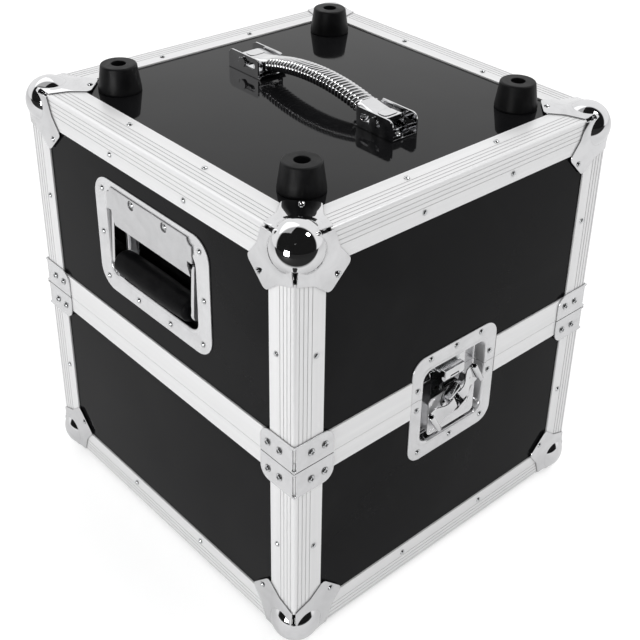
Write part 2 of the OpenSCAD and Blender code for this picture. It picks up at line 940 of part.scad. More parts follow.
// Hook with two knuckles and its pin, tipped just clear of the keeper's lip
module hook() {
    inner = 5 + fit;
    tip_c = lip_c + 0.4;
    face_c = hook_hinge_c + hook_roll;
    translate([-hook_w/2, hook_low, hook_hinge_c]) rotate([0, 90, 0])
        cylinder(h = hook_w, r = hook_roll/2, $fn = round_fn);
    both_x() translate([inner, hook_low, 0]) {
        translate([0, 0, hook_hinge_c]) rotate([0, 90, 0])
            cylinder(h = hook_w/2 - inner, r = hook_roll, $fn = round_fn);
        translate([0, 0, face_c - hook_t]) cube([hook_w/2 - inner, hook_roll + 1.5, hook_t]);
    }
    translate([-hook_w/2, hook_low + hook_roll + fit, 0]) {
        translate([0, 0, face_c - hook_t])
            cube([hook_w, hook_rise - hook_roll - fit, hook_t]);
        translate([0, hook_rise - hook_roll - fit - hook_t, tip_c])
            cube([hook_w, hook_t, face_c - tip_c]);
    }
}

module front_hook() {
    color(steel) on_latch(0) hook();
}

module back_hook() {
    color(steel) on_latch(2) hook();
}

// Keeper: an angle on the lid's dish whose lip the hook reaches behind
module keeper() {
    lip_w = hook_w + 2;
    translate([-keeper_w/2, lip_low, -dish_depth]) cube([keeper_w, keeper_h, lip_t]);
    translate([-lip_w/2, lip_low, -dish_depth]) cube([lip_w, lip_t, dish_depth + lip_c]);
    for (x = [-12, 0, 12]) translate([x, lip_low + keeper_h - 4, lip_t - dish_depth]) rivet();
}

module front_keeper() {
    color(steel) on_latch(0) keeper();
}

module back_keeper() {
    color(steel) on_latch(2) keeper();
}

// ---- top handle; drawn with z = 0 on the top panel ----

module on_lid() {
    raised() translate([0, 0, panel_top]) children();
}

module strap_bracket() {
    wall = 1.5;
    slot_h = 2*(strap_pin_r + slot_room);
    y1 = strap_in + strap_bracket;
    difference() {
        union() {
            // floor, turned up at its inner end
            translate([-strap_bracket_w/2, 0, 0]) rotate([90, 0, 90]) linear_extrude(strap_bracket_w)
                polygon([[y1, 0], [y1, wall], [strap_in - 1.6, wall], [strap_in - 3.4, 3.8],
                    [strap_in - 4.7, 3], [strap_in - 2.4, 0]]);
            for (x = [-strap_bracket_w/2, strap_bracket_w/2 - wall]) translate([x, 0, 0])
                rotate([90, 0, 90]) linear_extrude(wall) polygon(concat(
                    [[strap_in, 0], [y1, 0]], arc(y1 - 6, strap_bracket_h - 6, 6, 0, 90),
                    arc(strap_in + 3, strap_bracket_h - 3, 3, 90, 180)));
        }
        translate([-strap_bracket_w, 0, 0]) rotate([90, 0, 90]) linear_extrude(2*strap_bracket_w)
            translate([slot_out - strap_slot/2, pin_z]) polygon(round_box(strap_slot + 0.5, slot_h,
                slot_h/2 - 0.01));
    }
    translate([0, y1 - 8, wall]) rivet();
}

module top_handle_brackets() {
    color(steel) on_lid() both_y() strap_bracket();
}

// Angle of the arch where it is y away from the middle
function arch_angle(y) = asin(y/arch_r);

// Outline of an arched strip in the Y-Z plane
function arch_strip(t, half, n = 24) = concat(
    [for (i = [0:n]) let(a = arch_angle(half)*(2*i/n - 1))
        [(arch_r + t/2)*sin(a), arch_z + (arch_r + t/2)*cos(a)]],
    [for (i = [n:-1:0]) let(a = arch_angle(half)*(2*i/n - 1))
        [(arch_r - t/2)*sin(a), arch_z + (arch_r - t/2)*cos(a)]]);

coil_end_z = arch_z + arch_r*cos(arch_angle(coil_half + 2)); // strap's height past the coil

// Pressed end: a collar the coil stops against, then a plate that bends down to the pin
module strap_end() {
    plate_w = strap_bracket_w - 7;
    plate_t = 2.6;
    y0 = coil_half + 1;
    bend = pin_y - 6; // where the plate comes level
    tip = pin_y + 9;
    z0 = coil_end_z + 2.2;
    z1 = pin_z + 5;
    function bent(t) = [y0 + t*(bend - y0), z0 + t*t*(3 - 2*t)*(z1 - z0)];
    top = [for (i = [0:8]) bent(i/8)];
    difference() {
        union() {
            translate([-coil_w/2, y0, coil_end_z - coil_h/2 + 1]) cube([coil_w, 3, coil_h - 3]);
            intersection() {
                translate([-plate_w/2, 0, 0]) rotate([90, 0, 90]) linear_extrude(plate_w)
                    polygon(concat(top, [[tip, z1], [tip, z1 - plate_t]],
                        [for (i = [8:-1:0]) top[i] - [0, plate_t]]));
                translate([0, (y0 + tip)/2, 0]) linear_extrude(2*z0)
                    polygon(round_box(plate_w, tip - y0 + 0.02, 4));
            }
            // raised field over the pin
            translate([0, pin_y + 0.5, z1 - 1]) linear_extrude(1.6)
                polygon(round_box(plate_w - 7, 11, 4));
            translate([-plate_w/2, pin_y, pin_z]) rotate([0, 90, 0])
                cylinder(h = plate_w, r = strap_pin_r + 1.9, $fn = round_fn);
        }
        translate([-plate_w, pin_y, pin_z]) rotate([0, 90, 0])
            cylinder(h = 2*plate_w, r = strap_pin_r + pin_fit, $fn = round_fn);
    }
}

module top_handle_strap() {
    color(steel) on_lid() {
        translate([-strip_w/2, 0, 0]) rotate([90, 0, 90]) linear_extrude(strip_w)
            polygon(arch_strip(strip_t, coil_half + 2));
        both_y() strap_end();
    }
}

// Each turn stands out of a core that follows the arch; the strap runs through it
module top_handle_coil() {
    span = 2*arch_angle(coil_half);
    step = span/coil_turns;
    pitch = arch_r*step*PI/180;
    color(steel) on_lid() difference() {
        union() {
            for (i = [0:coil_turns - 1]) translate([0, 0, arch_z])
                rotate([span/2 - (i + 0.5)*step, 0, 0]) translate([0, 0, arch_r])
                    rotate([90, 0, 0]) sheet(-0.39*pitch, 0.78*pitch)
                        polygon(round_box(coil_w, coil_h, coil_h*0.42, 4));
            translate([coil_groove - coil_w/2, 0, 0]) rotate([90, 0, 90])
                linear_extrude(coil_w - 2*coil_groove)
                    polygon(arch_strip(coil_h - 2*coil_groove, coil_half - 0.2*pitch, coil_turns));
        }
        translate([-strip_w/2 - fit, 0, 0]) rotate([90, 0, 90]) linear_extrude(strip_w + 2*fit)
            polygon(arch_strip(strip_t + 2*fit, coil_half + 1));
    }
}

module top_handle_pins() {
    half = strap_bracket_w/2;
    color(steel) on_lid() both_y() translate([0, pin_y, pin_z]) {
        translate([-half - fit, 0, 0]) rotate([0, 90, 0])
            cylinder(h = 2*(half + fit), r = strap_pin_r, $fn = round_fn);
        both_x() translate([half + fit - 0.1, 0, 0]) rotate([0, 90, 0])
            cylinder(h = 1.6, r = strap_pin_r + 1.5, $fn = round_fn);
    }
}

// ---- side handle; drawn on the left wall, y up, z outwards ----

module side_handle_dish() {
    color(steel) raised() on_wall(3) difference() {
        union() {
            translate([0, side_mid]) sheet(-leg_t, dish_t) polygon(round_box(side_w, side_h, side_corner));
            translate([0, side_mouth_mid]) sheet(-side_depth - dish_t, side_depth + dish_t - leg_t + 0.5)
                polygon(round_box(side_mouth_w + 2*dish_t, side_mouth_h + 2*dish_t,
                    side_mouth_corner + dish_t));
        }
        translate([0, side_mouth_mid]) sheet(-side_depth, 2*side_depth)
            polygon(round_box(side_mouth_w, side_mouth_h, side_mouth_corner));
    }
}

// Cover over the bail's pivot, with an ear at each end that holds it
module side_handle_hinge_plate() {
    top_z = side_z + side_h - 5;
    crease_z = pivot_z + 4;
    low_z = pivot_z - hinge_drop;
    wide = 62;
    narrow = arm_a - arm_t/2 - 1.5;
    seat = flange_top;
    color(steel) raised() on_wall(3) difference() {
        union() {
            translate([-wide, crease_z + 4, seat]) cube([2*wide, top_z - crease_z - 4, hinge_t]);
            translate([-narrow, crease_z - 0.5, seat]) cube([2*narrow, 5, hinge_t]);
            translate([-narrow, 0, 0]) rotate([90, 0, 90]) linear_extrude(2*narrow)
                polygon([[crease_z, seat], [crease_z, seat + hinge_t], [low_z, seat + hinge_t - 2.5],
                    [low_z, seat - 2.5]]);
            both_x() translate([ear_a, 0, 0]) rotate([90, 0, 90]) linear_extrude(ear_t)
                polygon(concat([[low_z + 0.5, seat - 2.2]],
                    arc(pivot_z, pivot_c, bail_r + 3, 180, 360, 10), [[pivot_z + bail_r + 3, seat + 0.2]]));
        }
        translate([-ear_a - 2*ear_t, pivot_z, pivot_c]) rotate([0, 90, 0])
            cylinder(h = 2*(ear_a + 2*ear_t), r = bail_r + 0.1, $fn = round_fn);
        for (x = side_rivet_a*[-1, 1]) translate([x, side_z + side_h - side_rivet_top, -1])
            cylinder(h = 5, r = rivet_r + 2);
        for (x = [-wide, wide]) translate([x, top_z, -1]) cylinder(h = 5, r = 6);
    }
}

// Two torsion springs round the ends of the bail, each a row of rings with a leg
module side_handle_springs() {
    wire = 0.6;
    ring = bail_r + fit + wire;
    turns = 8;
    color(steel) raised() on_wall(3) both_x() {
        for (i = [0:turns - 1]) translate([ear_a - 2 - i*1.5*wire, pivot_z, pivot_c]) rotate([0, 90, 0])
            rotate_extrude($fn = 24) translate([ring, 0]) circle(wire, $fn = 8);
        translate([ear_a - 2, pivot_z + ring, pivot_c - 0.5]) rotate([-20, 0, 0])
            translate([-wire, -wire/2, 0.5 - side_depth - pivot_c]) cube([2*wire, wire, side_depth + pivot_c]);
    }
}

module side_handle_bail() {
    stub_in = 26; // inner end of each pivot stub
    grip_z = pivot_z - bail_drop;
    color(steel) raised() on_wall(3) {
        both_x() {
            translate([arm_a - arm_t/2, 0, 0]) rotate([90, 0, 90]) linear_extrude(arm_t) polygon(concat(
                arc(pivot_z, pivot_c, bail_r + 1.5, -90, 90),
                arc(grip_z, grip_c, bail_r + 2.5, 90, 270)));
            translate([stub_in, pivot_z, pivot_c]) rotate([0, 90, 0])
                cylinder(h = arm_a - stub_in, r = bail_r, $fn = round_fn);
        }
        translate([-arm_a, grip_z, grip_c]) rotate([0, 90, 0])
            cylinder(h = 2*arm_a, r = bail_r, $fn = round_fn);
    }
}

// Moulded grip, turned, thickest in the middle, with rounded ends
module side_handle_grip() {
    grip_z = pivot_z - bail_drop;
    end_r = 5; // rounding of the ends
    swell = 1;
    side_r = grip_r - swell - end_r;
    color([0.12, 0.12, 0.12]) raised() on_wall(3) translate([0, grip_z, grip_c]) rotate([0, 90, 0])
        rotate_extrude($fn = 48) polygon(concat(
            [[bail_r + pin_fit, -grip_half]], arc(side_r, end_r - grip_half, end_r, -90, -5, 5),
            [for (i = [-3:3]) [grip_r - swell*pow(i/4, 2), i*(grip_half - end_r)/4]],
            arc(side_r, grip_half - end_r, end_r, 5, 90, 5), [[bail_r + pin_fit, grip_half]]));
}

// ---- feet ----

module on_feet() {
    on_lid() four_corners() translate([half_w - foot_in_x, half_d - foot_in_y, 0]) children();
}

module rubber_feet() {
    color([0.13, 0.13, 0.13]) on_feet()
        rotate_extrude($fn = 48) polygon(concat([[2.6, 0], [foot_r, 0], [foot_r, 2]],
            arc(foot_end_r - 2, foot_h - 2, 2, 0, 90, 4),
            [[foot_hole_r, foot_h], [foot_hole_r, 6], [2.6, 6]]));
}

module foot_screws() {
    color(steel) on_feet() {
        cylinder(h = 6.2, r = 2.3, $fn = 24);
        translate([0, 0, 6]) scale(1.6) screw();
    }
}

base_bottom_panel();
base_front_panel();
base_back_panel();
base_left_panel();
base_right_panel();
base_edge_angles_x();
base_edge_angles_y();
base_posts();
base_tongue_rails_x();
base_tongue_rails_y();
base_ball_corners();
base_split_brackets();
base_rivets();
base_bracket_screws();
base_foam_pad();
front_latch_dish();
back_latch_dish();
front_latch_plate();
back_latch_plate();
lid_top_panel();
lid_front_panel();
lid_back_panel();
lid_left_panel();
lid_right_panel();
lid_edge_angles_x();
lid_edge_angles_y();
lid_posts();
lid_groove_rails_x();
lid_groove_rails_y();
lid_ball_corners();
lid_split_brackets();
lid_rivets();
lid_bracket_screws();
lid_foam_pad();
rubber_feet();
foot_screws();
front_keeper_dish();
back_keeper_dish();
front_keeper();
back_keeper();
side_handle_dish();
side_handle_hinge_plate();
side_handle_springs();
top_handle_brackets();
top_handle_strap();
top_handle_coil();
top_handle_pins();
side_handle_bail();
side_handle_grip();
front_latch_rotor();
front_latch_wing_left();
front_latch_wing_right();
front_draw_plate();
front_hook();
back_latch_rotor();
back_latch_wing_left();
back_latch_wing_right();
back_draw_plate();
back_hook();
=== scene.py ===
import json
import math

import bpy
from mathutils import Matrix, Vector

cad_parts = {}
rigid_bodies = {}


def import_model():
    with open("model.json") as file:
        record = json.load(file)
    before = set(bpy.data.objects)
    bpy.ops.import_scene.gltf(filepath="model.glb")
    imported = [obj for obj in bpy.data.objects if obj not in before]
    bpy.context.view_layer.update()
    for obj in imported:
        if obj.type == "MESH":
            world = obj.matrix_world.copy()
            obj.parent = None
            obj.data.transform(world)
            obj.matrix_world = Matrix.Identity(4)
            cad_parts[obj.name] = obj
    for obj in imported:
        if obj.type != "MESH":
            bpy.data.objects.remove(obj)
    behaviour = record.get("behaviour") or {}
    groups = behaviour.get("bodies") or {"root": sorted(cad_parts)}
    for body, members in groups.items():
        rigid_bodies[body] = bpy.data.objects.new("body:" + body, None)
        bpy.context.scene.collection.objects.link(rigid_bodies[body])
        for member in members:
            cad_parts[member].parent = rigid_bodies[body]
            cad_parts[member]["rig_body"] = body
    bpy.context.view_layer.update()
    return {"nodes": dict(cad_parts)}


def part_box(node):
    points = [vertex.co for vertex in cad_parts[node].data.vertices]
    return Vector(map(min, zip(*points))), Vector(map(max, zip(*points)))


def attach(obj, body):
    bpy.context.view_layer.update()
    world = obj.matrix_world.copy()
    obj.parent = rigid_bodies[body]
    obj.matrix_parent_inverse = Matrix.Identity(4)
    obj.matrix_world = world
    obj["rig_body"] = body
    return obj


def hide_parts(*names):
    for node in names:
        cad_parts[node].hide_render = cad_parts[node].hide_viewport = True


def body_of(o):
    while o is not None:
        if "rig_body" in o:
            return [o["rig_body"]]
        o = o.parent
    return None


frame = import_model()
nodes = frame["nodes"]
print("frame loaded:", len(nodes), "nodes")


# The camera, at the place the photograph was taken from
cameraView = {
    "position": (-0.62635, -0.71032, 0.81059),
    "azimuth": -44.50,
    "elevation": 29.22,
    "roll": 2.30,
    "imageWidth": 640,
    "focalPixels": 1133.3,
    "opticalCentre": (369.39, 224.39),  # pixel that the lens points at
    "sensor": 36.0,
    "nearest": 0.02,
}


def makeCamera(view):
    azimuth, elevation, roll = (math.radians(view[key]) for key in ("azimuth", "elevation", "roll"))
    level = math.cos(elevation)
    back = Vector((math.sin(azimuth) * level, -math.cos(azimuth) * level, math.sin(elevation)))
    right = Vector((0, 0, 1)).cross(back).normalized()
    up = back.cross(right)
    turned = Matrix((right, up, back)).transposed() @ Matrix.Rotation(roll, 3, "Z")
    half = view["imageWidth"] / 2
    data = bpy.data.cameras.new("photoCamera")
    data.sensor_width = view["sensor"]
    data.lens = view["focalPixels"] / view["imageWidth"] * view["sensor"]
    data.shift_x = (half - view["opticalCentre"][0]) / view["imageWidth"]
    data.shift_y = (view["opticalCentre"][1] - half) / view["imageWidth"]
    data.clip_start = view["nearest"]
    camera = bpy.data.objects.new("photoCamera", data)
    bpy.context.scene.collection.objects.link(camera)
    camera.matrix_world = Matrix.Translation(view["position"]) @ turned.to_4x4()
    bpy.context.scene.camera = camera
    return back


towardsCamera = makeCamera(cameraView)
print("camera in place")


# Short ways to start a material, and to place and link its nodes
def put(tree, kind, values=None, **settings):
    node = tree.nodes.new(kind)
    for key, value in settings.items():
        setattr(node, key, value)
    for key, value in (values or {}).items():
        node.inputs[key].default_value = value
    return node


def wire(tree, source, target):
    tree.links.new(source, target)


def maths(tree, operation, first, second, clamp=False):
    node = put(tree, "ShaderNodeMath", operation=operation, use_clamp=clamp)
    for i, value in enumerate((first, second)):
        if isinstance(value, (int, float)):
            node.inputs[i].default_value = value
        else:
            wire(tree, value, node.inputs[i])
    return node.outputs[0]


def ramp(tree, factor, low, high, fromLow=0.0, fromHigh=1.0):
    node = put(tree, "ShaderNodeMapRange", {"From Min": fromLow, "From Max": fromHigh,
                                            "To Min": low, "To Max": high})
    wire(tree, factor, node.inputs["Value"])
    return node.outputs["Result"]


def blendColours(tree, factor, first, second):
    node = put(tree, "ShaderNodeMix", data_type="RGBA")
    node.inputs["A"].default_value = (*first, 1)
    node.inputs["B"].default_value = (*second, 1)
    wire(tree, factor, node.inputs["Factor"])
    return node.outputs["Result"]


def objectSpace(tree, scale=(1, 1, 1)):
    place = put(tree, "ShaderNodeTexCoord")
    mapping = put(tree, "ShaderNodeMapping", {"Scale": scale})
    wire(tree, place.outputs["Object"], mapping.inputs["Vector"])
    return mapping.outputs["Vector"]


def startMaterial(name, values):
    material = bpy.data.materials.new(name)
    material.use_nodes = True
    tree = material.node_tree
    shader = tree.nodes["Principled BSDF"]
    for label, value in values.items():
        shader.inputs[label].default_value = value
    return material, tree, shader


# The studio: a white tent with a dark opening behind the camera, three soft boxes and a pale floor
studio = {
    "ambient": 0.9,              # light that reaches dull surfaces from all round
    "mirrored": 1.0,             # brightness of the tent in metal and gloss
    "openingDark": 0.012,        # the dark room behind the camera, in metal and gloss
    "openingCosine": (0.10, 0.20),  # where that room begins, from its edge to full dark
    "floorSize": 40.0,
    "floorColour": (0.64, 0.64, 0.64),
    "floorRoughness": 0.9,
    "floorShine": 0.1,
    "floorGlow": 0.5,            # lifts the lit floor to white
    "mirroredGlow": 0.2,         # the same, in metal and gloss
    "sheetEdge": (0.50, 0.62),   # where the white sheet ends towards the camera, in metal and gloss
    "beyondSheet": 0.03,         # how bright the ground beyond it is, next to the sheet
    "overhead": {"energy": 4.0, "size": 1.6, "place": (-0.2, 1.0, 1.9)},
    "side": {"energy": 9.5, "size": 0.5, "place": (-1.66, -0.45, 0.36)},
    "front": {"energy": 8.0, "size": 0.4, "place": (0.67, -1.0, 2.0)},
    "target": (0.0, 0.0, 0.22),
}


def makeWorld(settings, opening):
    world = bpy.data.worlds.new("softTent")
    bpy.context.scene.world = world
    world.use_nodes = True
    tree = world.node_tree
    tree.nodes.clear()
    direction = put(tree, "ShaderNodeTexCoord").outputs["Generated"]
    facing = put(tree, "ShaderNodeVectorMath", operation="DOT_PRODUCT")
    facing.inputs[1].default_value = opening
    wire(tree, direction, facing.inputs[0])
    mirrored = ramp(tree, facing.outputs["Value"], settings["mirrored"], settings["openingDark"],
                    *settings["openingCosine"])
    path = put(tree, "ShaderNodeLightPath")
    shiny = maths(tree, "MAXIMUM", path.outputs["Is Glossy Ray"], path.outputs["Is Transmission Ray"])
    dull = put(tree, "ShaderNodeMix", {"A": settings["ambient"]}, data_type="FLOAT")
    wire(tree, shiny, dull.inputs["Factor"])
    wire(tree, mirrored, dull.inputs["B"])
    seen = put(tree, "ShaderNodeMix", {"B": 1.0}, data_type="FLOAT")
    wire(tree, path.outputs["Is Camera Ray"], seen.inputs["Factor"])
    wire(tree, dull.outputs["Result"], seen.inputs["A"])
    background = put(tree, "ShaderNodeBackground", {"Color": (1, 1, 1, 1)})
    wire(tree, seen.outputs["Result"], background.inputs["Strength"])
    output = put(tree, "ShaderNodeOutputWorld")
    wire(tree, background.outputs[0], output.inputs["Surface"])


def makeSoftbox(name, settings, target):
    data = bpy.data.lights.new(name, "AREA")
    data.energy = settings["energy"]
    data.size = settings["size"]
    light = bpy.data.objects.new(name, data)
    bpy.context.scene.collection.objects.link(light)
    light.location = settings["place"]
    aim = Vector(target) - Vector(settings["place"])
    light.rotation_euler = aim.to_track_quat("-Z", "Y").to_euler()


def makeFloor(settings, opening):
    bpy.ops.object.select_all(action="DESELECT")
    bpy.ops.mesh.primitive_plane_add(size=settings["floorSize"], location=(0, 0, 0))
    floor = bpy.context.active_object
    floor.name = "studioFloor"
    material, tree, shader = startMaterial("paleFloor", {
        "Roughness": settings["floorRoughness"], "Specular IOR Level": settings["floorShine"],
        "Emission Color": (1, 1, 1, 1)})
    path = put(tree, "ShaderNodeLightPath")
    reach = put(tree, "ShaderNodeVectorMath", operation="DOT_PRODUCT")
    reach.inputs[1].default_value = Vector((opening.x, opening.y, 0)).normalized()
    wire(tree, put(tree, "ShaderNodeTexCoord").outputs["Object"], reach.inputs[0])
    sheet = ramp(tree, reach.outputs["Value"], 1.0, settings["beyondSheet"], *settings["sheetEdge"])
    shiny = path.outputs["Is Glossy Ray"]
    fade = maths(tree, "SUBTRACT", 1.0, maths(tree, "MULTIPLY", shiny, maths(tree, "SUBTRACT", 1.0, sheet)))
    paint = put(tree, "ShaderNodeVectorMath", operation="SCALE")
    paint.inputs[0].default_value = settings["floorColour"]
    wire(tree, fade, paint.inputs["Scale"])
    wire(tree, paint.outputs["Vector"], shader.inputs["Base Color"])
    glow = maths(tree, "ADD", maths(tree, "MULTIPLY", path.outputs["Is Camera Ray"], settings["floorGlow"]),
                 maths(tree, "MULTIPLY", shiny, settings["mirroredGlow"]))
    wire(tree, maths(tree, "MULTIPLY", glow, fade), shader.inputs["Emission Strength"])
    floor.data.materials.append(material)


makeWorld(studio, towardsCamera)
makeSoftbox("overheadBox", studio["overhead"], studio["target"])
makeSoftbox("sideBox", studio["side"], studio["target"])
makeSoftbox("frontBox", studio["front"], studio["target"])
makeFloor(studio, towardsCamera)
bpy.context.scene.view_settings.view_transform = "Standard"
print("studio lit")


# Effects that several finishes share
def newGroup(name, inputs, outputs):
    group = bpy.data.node_groups.new(name, "ShaderNodeTree")
    for label, kind, value in inputs:
        socket = group.interface.new_socket(label, in_out="INPUT", socket_type=kind)
        if value is not None:
            socket.default_value = value
    for label, kind in outputs:
        group.interface.new_socket(label, in_out="OUTPUT", socket_type=kind)
    return group, group.nodes.new("NodeGroupInput"), group.nodes.new("NodeGroupOutput")


def makeHandlingGroup():
    # Smears from hands and hairline scratches that cross at all angles
    marks = {"smearEdges": (0.42, 0.72), "scratchEdges": (0.66, 0.78), "turn": (0.5, 0.9, 0.4),
             "stretch": (0.05, 1.0, 1.0)}
    group, given, result = newGroup(
        "handlingMarks",
        [("Vector", "NodeSocketVector", None), ("Smear Scale", "NodeSocketFloat", 14.0),
         ("Scratch Scale", "NodeSocketFloat", 160.0)],
        [("Smears", "NodeSocketFloat"), ("Scratches", "NodeSocketFloat")])
    smear = put(group, "ShaderNodeTexNoise", {"Detail": 5.0, "Roughness": 0.62, "Distortion": 0.7})
    wire(group, given.outputs["Vector"], smear.inputs["Vector"])
    wire(group, given.outputs["Smear Scale"], smear.inputs["Scale"])
    wire(group, ramp(group, smear.outputs["Fac"], 0.0, 1.0, *marks["smearEdges"]), result.inputs["Smears"])
    stretched = put(group, "ShaderNodeMapping", {"Rotation": marks["turn"], "Scale": marks["stretch"]})
    wire(group, given.outputs["Vector"], stretched.inputs["Vector"])
    scratch = put(group, "ShaderNodeTexNoise", {"Detail": 3.0, "Roughness": 0.5})
    wire(group, stretched.outputs["Vector"], scratch.inputs["Vector"])
    wire(group, given.outputs["Scratch Scale"], scratch.inputs["Scale"])
    wire(group, ramp(group, scratch.outputs["Fac"], 0.0, 1.0, *marks["scratchEdges"]),
         result.inputs["Scratches"])
    return group


def makeGrainGroup():
    # Fine lines that run one way, from drawing or extruding, and the broad bands among them
    bandShare = 0.16  # of the fine lines' scale
    group, given, result = newGroup(
        "drawnLines",
        [("Vector", "NodeSocketVector", None), ("Scale", "NodeSocketFloat", 900.0)],
        [("Lines", "NodeSocketFloat"), ("Bands", "NodeSocketFloat")])
    fine = put(group, "ShaderNodeTexNoise", {"Detail": 4.0, "Roughness": 0.6})
    broad = put(group, "ShaderNodeTexNoise", {"Detail": 2.0, "Roughness": 0.5})
    for noise, share in ((fine, 1.0), (broad, bandShare)):
        wire(group, given.outputs["Vector"], noise.inputs["Vector"])
        wire(group, maths(group, "MULTIPLY", given.outputs["Scale"], share), noise.inputs["Scale"])
    wire(group, fine.outputs["Fac"], result.inputs["Lines"])
    wire(group, broad.outputs["Fac"], result.inputs["Bands"])
    return group


handlingMarks = makeHandlingGroup()
drawnLines = makeGrainGroup()


def addGroup(tree, group, vector, values):
    node = put(tree, "ShaderNodeGroup", values, node_tree=group)
    wire(tree, vector, node.inputs["Vector"])
    return node


def addMarks(tree, vector, look):
    return addGroup(tree, handlingMarks, vector,
                    {"Smear Scale": look["smears"], "Scratch Scale": look["scratches"]})


def addBump(tree, shader, height, strength, distance):
    bump = put(tree, "ShaderNodeBump", {"Strength": strength, "Distance": distance})
    wire(tree, height, bump.inputs["Height"])
    wire(tree, bump.outputs["Normal"], shader.inputs["Normal"])


def paintHollowShade(tree, colour, paintedShade, reach):
    # Painted shade: the colour darkens in grooves, along seams and between parts, where the occlusion finds
    # little open space
    fullShadeOpenness, clear = 0.5, 0.95  # how open a spot is where the painted shade is full, and where there is none
    hollow = put(tree, "ShaderNodeAmbientOcclusion", {"Distance": reach}, samples=8)
    node = put(tree, "ShaderNodeMix", data_type="RGBA")
    wire(tree, ramp(tree, hollow.outputs["AO"], 1.0, 0.0, fullShadeOpenness, clear), node.inputs["Factor"])
    wire(tree, colour, node.inputs["A"])
    node.inputs["B"].default_value = (*paintedShade, 1)
    return node.outputs["Result"]


# The finishes: laminate, extruded aluminium, plated steels, rubber and foam
def makeLaminate(name, reflection, roughness):
    look = {"dark": (0.0055, 0.0055, 0.006), "light": (0.0085, 0.0085, 0.009), "smears": 9.0,
            "scratches": 220.0, "scratchShare": 0.5, "peelScale": 420.0, "peel": 0.35, "peelDepth": 0.00002}
    material, tree, shader = startMaterial(name, {"Specular IOR Level": reflection})
    place = objectSpace(tree)
    marks = addMarks(tree, place, look)
    wire(tree, blendColours(tree, marks.outputs["Smears"], look["dark"], look["light"]),
         shader.inputs["Base Color"])
    scratches = maths(tree, "MULTIPLY", marks.outputs["Scratches"], look["scratchShare"])
    worn = maths(tree, "ADD", marks.outputs["Smears"], scratches, clamp=True)
    wire(tree, ramp(tree, worn, *roughness), shader.inputs["Roughness"])
    peel = put(tree, "ShaderNodeTexNoise", {"Scale": look["peelScale"], "Detail": 2.0})
    wire(tree, place, peel.inputs["Vector"])
    addBump(tree, shader, peel.outputs["Fac"], look["peel"], look["peelDepth"])
    return material


def makeAluminium(name, scale):
    look = {"metallic": 0.35, "dark": (0.72, 0.72, 0.725), "light": (0.84, 0.84, 0.845),
            "roughness": (0.28, 0.44), "lineScale": 900.0, "lineShare": 0.6, "smears": 18.0,
            "smearShare": 0.4, "scratches": 260.0, "scratchShare": 0.4, "lines": 0.4, "lineDepth": 0.00003,
            # painted shade in grooves and seams: its colour, and how far it looks for them
            "paintedShade": (0.58, 0.58, 0.58), "paintedShadeReach": 0.0014}
    material, tree, shader = startMaterial(name, {"Metallic": look["metallic"]})
    lines = addGroup(tree, drawnLines, objectSpace(tree, scale), {"Scale": look["lineScale"]})
    marks = addMarks(tree, objectSpace(tree), look)
    colour = blendColours(tree, lines.outputs["Bands"], look["dark"], look["light"])
    # The base colour gets painted shade in the grooves and seams
    wire(tree, paintHollowShade(tree, colour, look["paintedShade"], look["paintedShadeReach"]), shader.inputs["Base Color"])
    dull = maths(tree, "ADD", maths(tree, "MULTIPLY", lines.outputs["Lines"], look["lineShare"]),
                 maths(tree, "MULTIPLY", marks.outputs["Smears"], look["smearShare"]), clamp=True)
    wire(tree, ramp(tree, dull, *look["roughness"]), shader.inputs["Roughness"])
    height = maths(tree, "SUBTRACT", lines.outputs["Lines"],
                   maths(tree, "MULTIPLY", marks.outputs["Scratches"], look["scratchShare"]))
    addBump(tree, shader, height, look["lines"], look["lineDepth"])
    return material


def makeSteel(name, colour, roughness, wave, waveScale, metallic=1.0):
    look = {"smears": 45.0, "smearTone": 0.9, "smearShare": 0.6, "scratches": 420.0, "scratchShare": 0.4,
            # the dark colour near the end of the next line is painted shade in seams and between parts, and
            # the number after it how far it looks for them
            "scratchDepth": 0.02, "waves": 0.5, "paintedShade": (0.1, 0.1, 0.1), "paintedShadeReach": 0.0012}
    material, tree, shader = startMaterial(name, {"Metallic": metallic})
    place = objectSpace(tree)
    marks = addMarks(tree, place, look)
    smeared = tuple(look["smearTone"] * part for part in colour)
    clean = blendColours(tree, marks.outputs["Smears"], colour, smeared)
    # The base colour gets painted shade in seams and between parts
    wire(tree, paintHollowShade(tree, clean, look["paintedShade"], look["paintedShadeReach"]), shader.inputs["Base Color"])
    worn = maths(tree, "ADD", maths(tree, "MULTIPLY", marks.outputs["Smears"], look["smearShare"]),
                 maths(tree, "MULTIPLY", marks.outputs["Scratches"], look["scratchShare"]), clamp=True)
    wire(tree, ramp(tree, worn, *roughness), shader.inputs["Roughness"])
    pressed = put(tree, "ShaderNodeTexNoise", {"Scale": waveScale, "Detail": 1.0})
    wire(tree, place, pressed.inputs["Vector"])
    height = maths(tree, "SUBTRACT", pressed.outputs["Fac"],
                   maths(tree, "MULTIPLY", marks.outputs["Scratches"], look["scratchDepth"]))
    addBump(tree, shader, height, look["waves"], wave)
    return material


def makeRubber(name, reflection):
    look = {"dark": (0.003, 0.003, 0.0035), "light": (0.008, 0.008, 0.0085), "roughness": (0.42, 0.6),
            "smears": 60.0, "scratches": 300.0, "pebbleScale": 900.0, "pebbles": 0.3, "pebbleDepth": 0.00012}
    material, tree, shader = startMaterial(name, {"Specular IOR Level": reflection})
    place = objectSpace(tree)
    marks = addMarks(tree, place, look)
    wire(tree, blendColours(tree, marks.outputs["Smears"], look["dark"], look["light"]),
         shader.inputs["Base Color"])
    wire(tree, ramp(tree, marks.outputs["Smears"], *look["roughness"]), shader.inputs["Roughness"])
    pebble = put(tree, "ShaderNodeTexVoronoi", {"Scale": look["pebbleScale"]})
    wire(tree, place, pebble.inputs["Vector"])
    addBump(tree, shader, pebble.outputs["Distance"], look["pebbles"], look["pebbleDepth"])
    return material


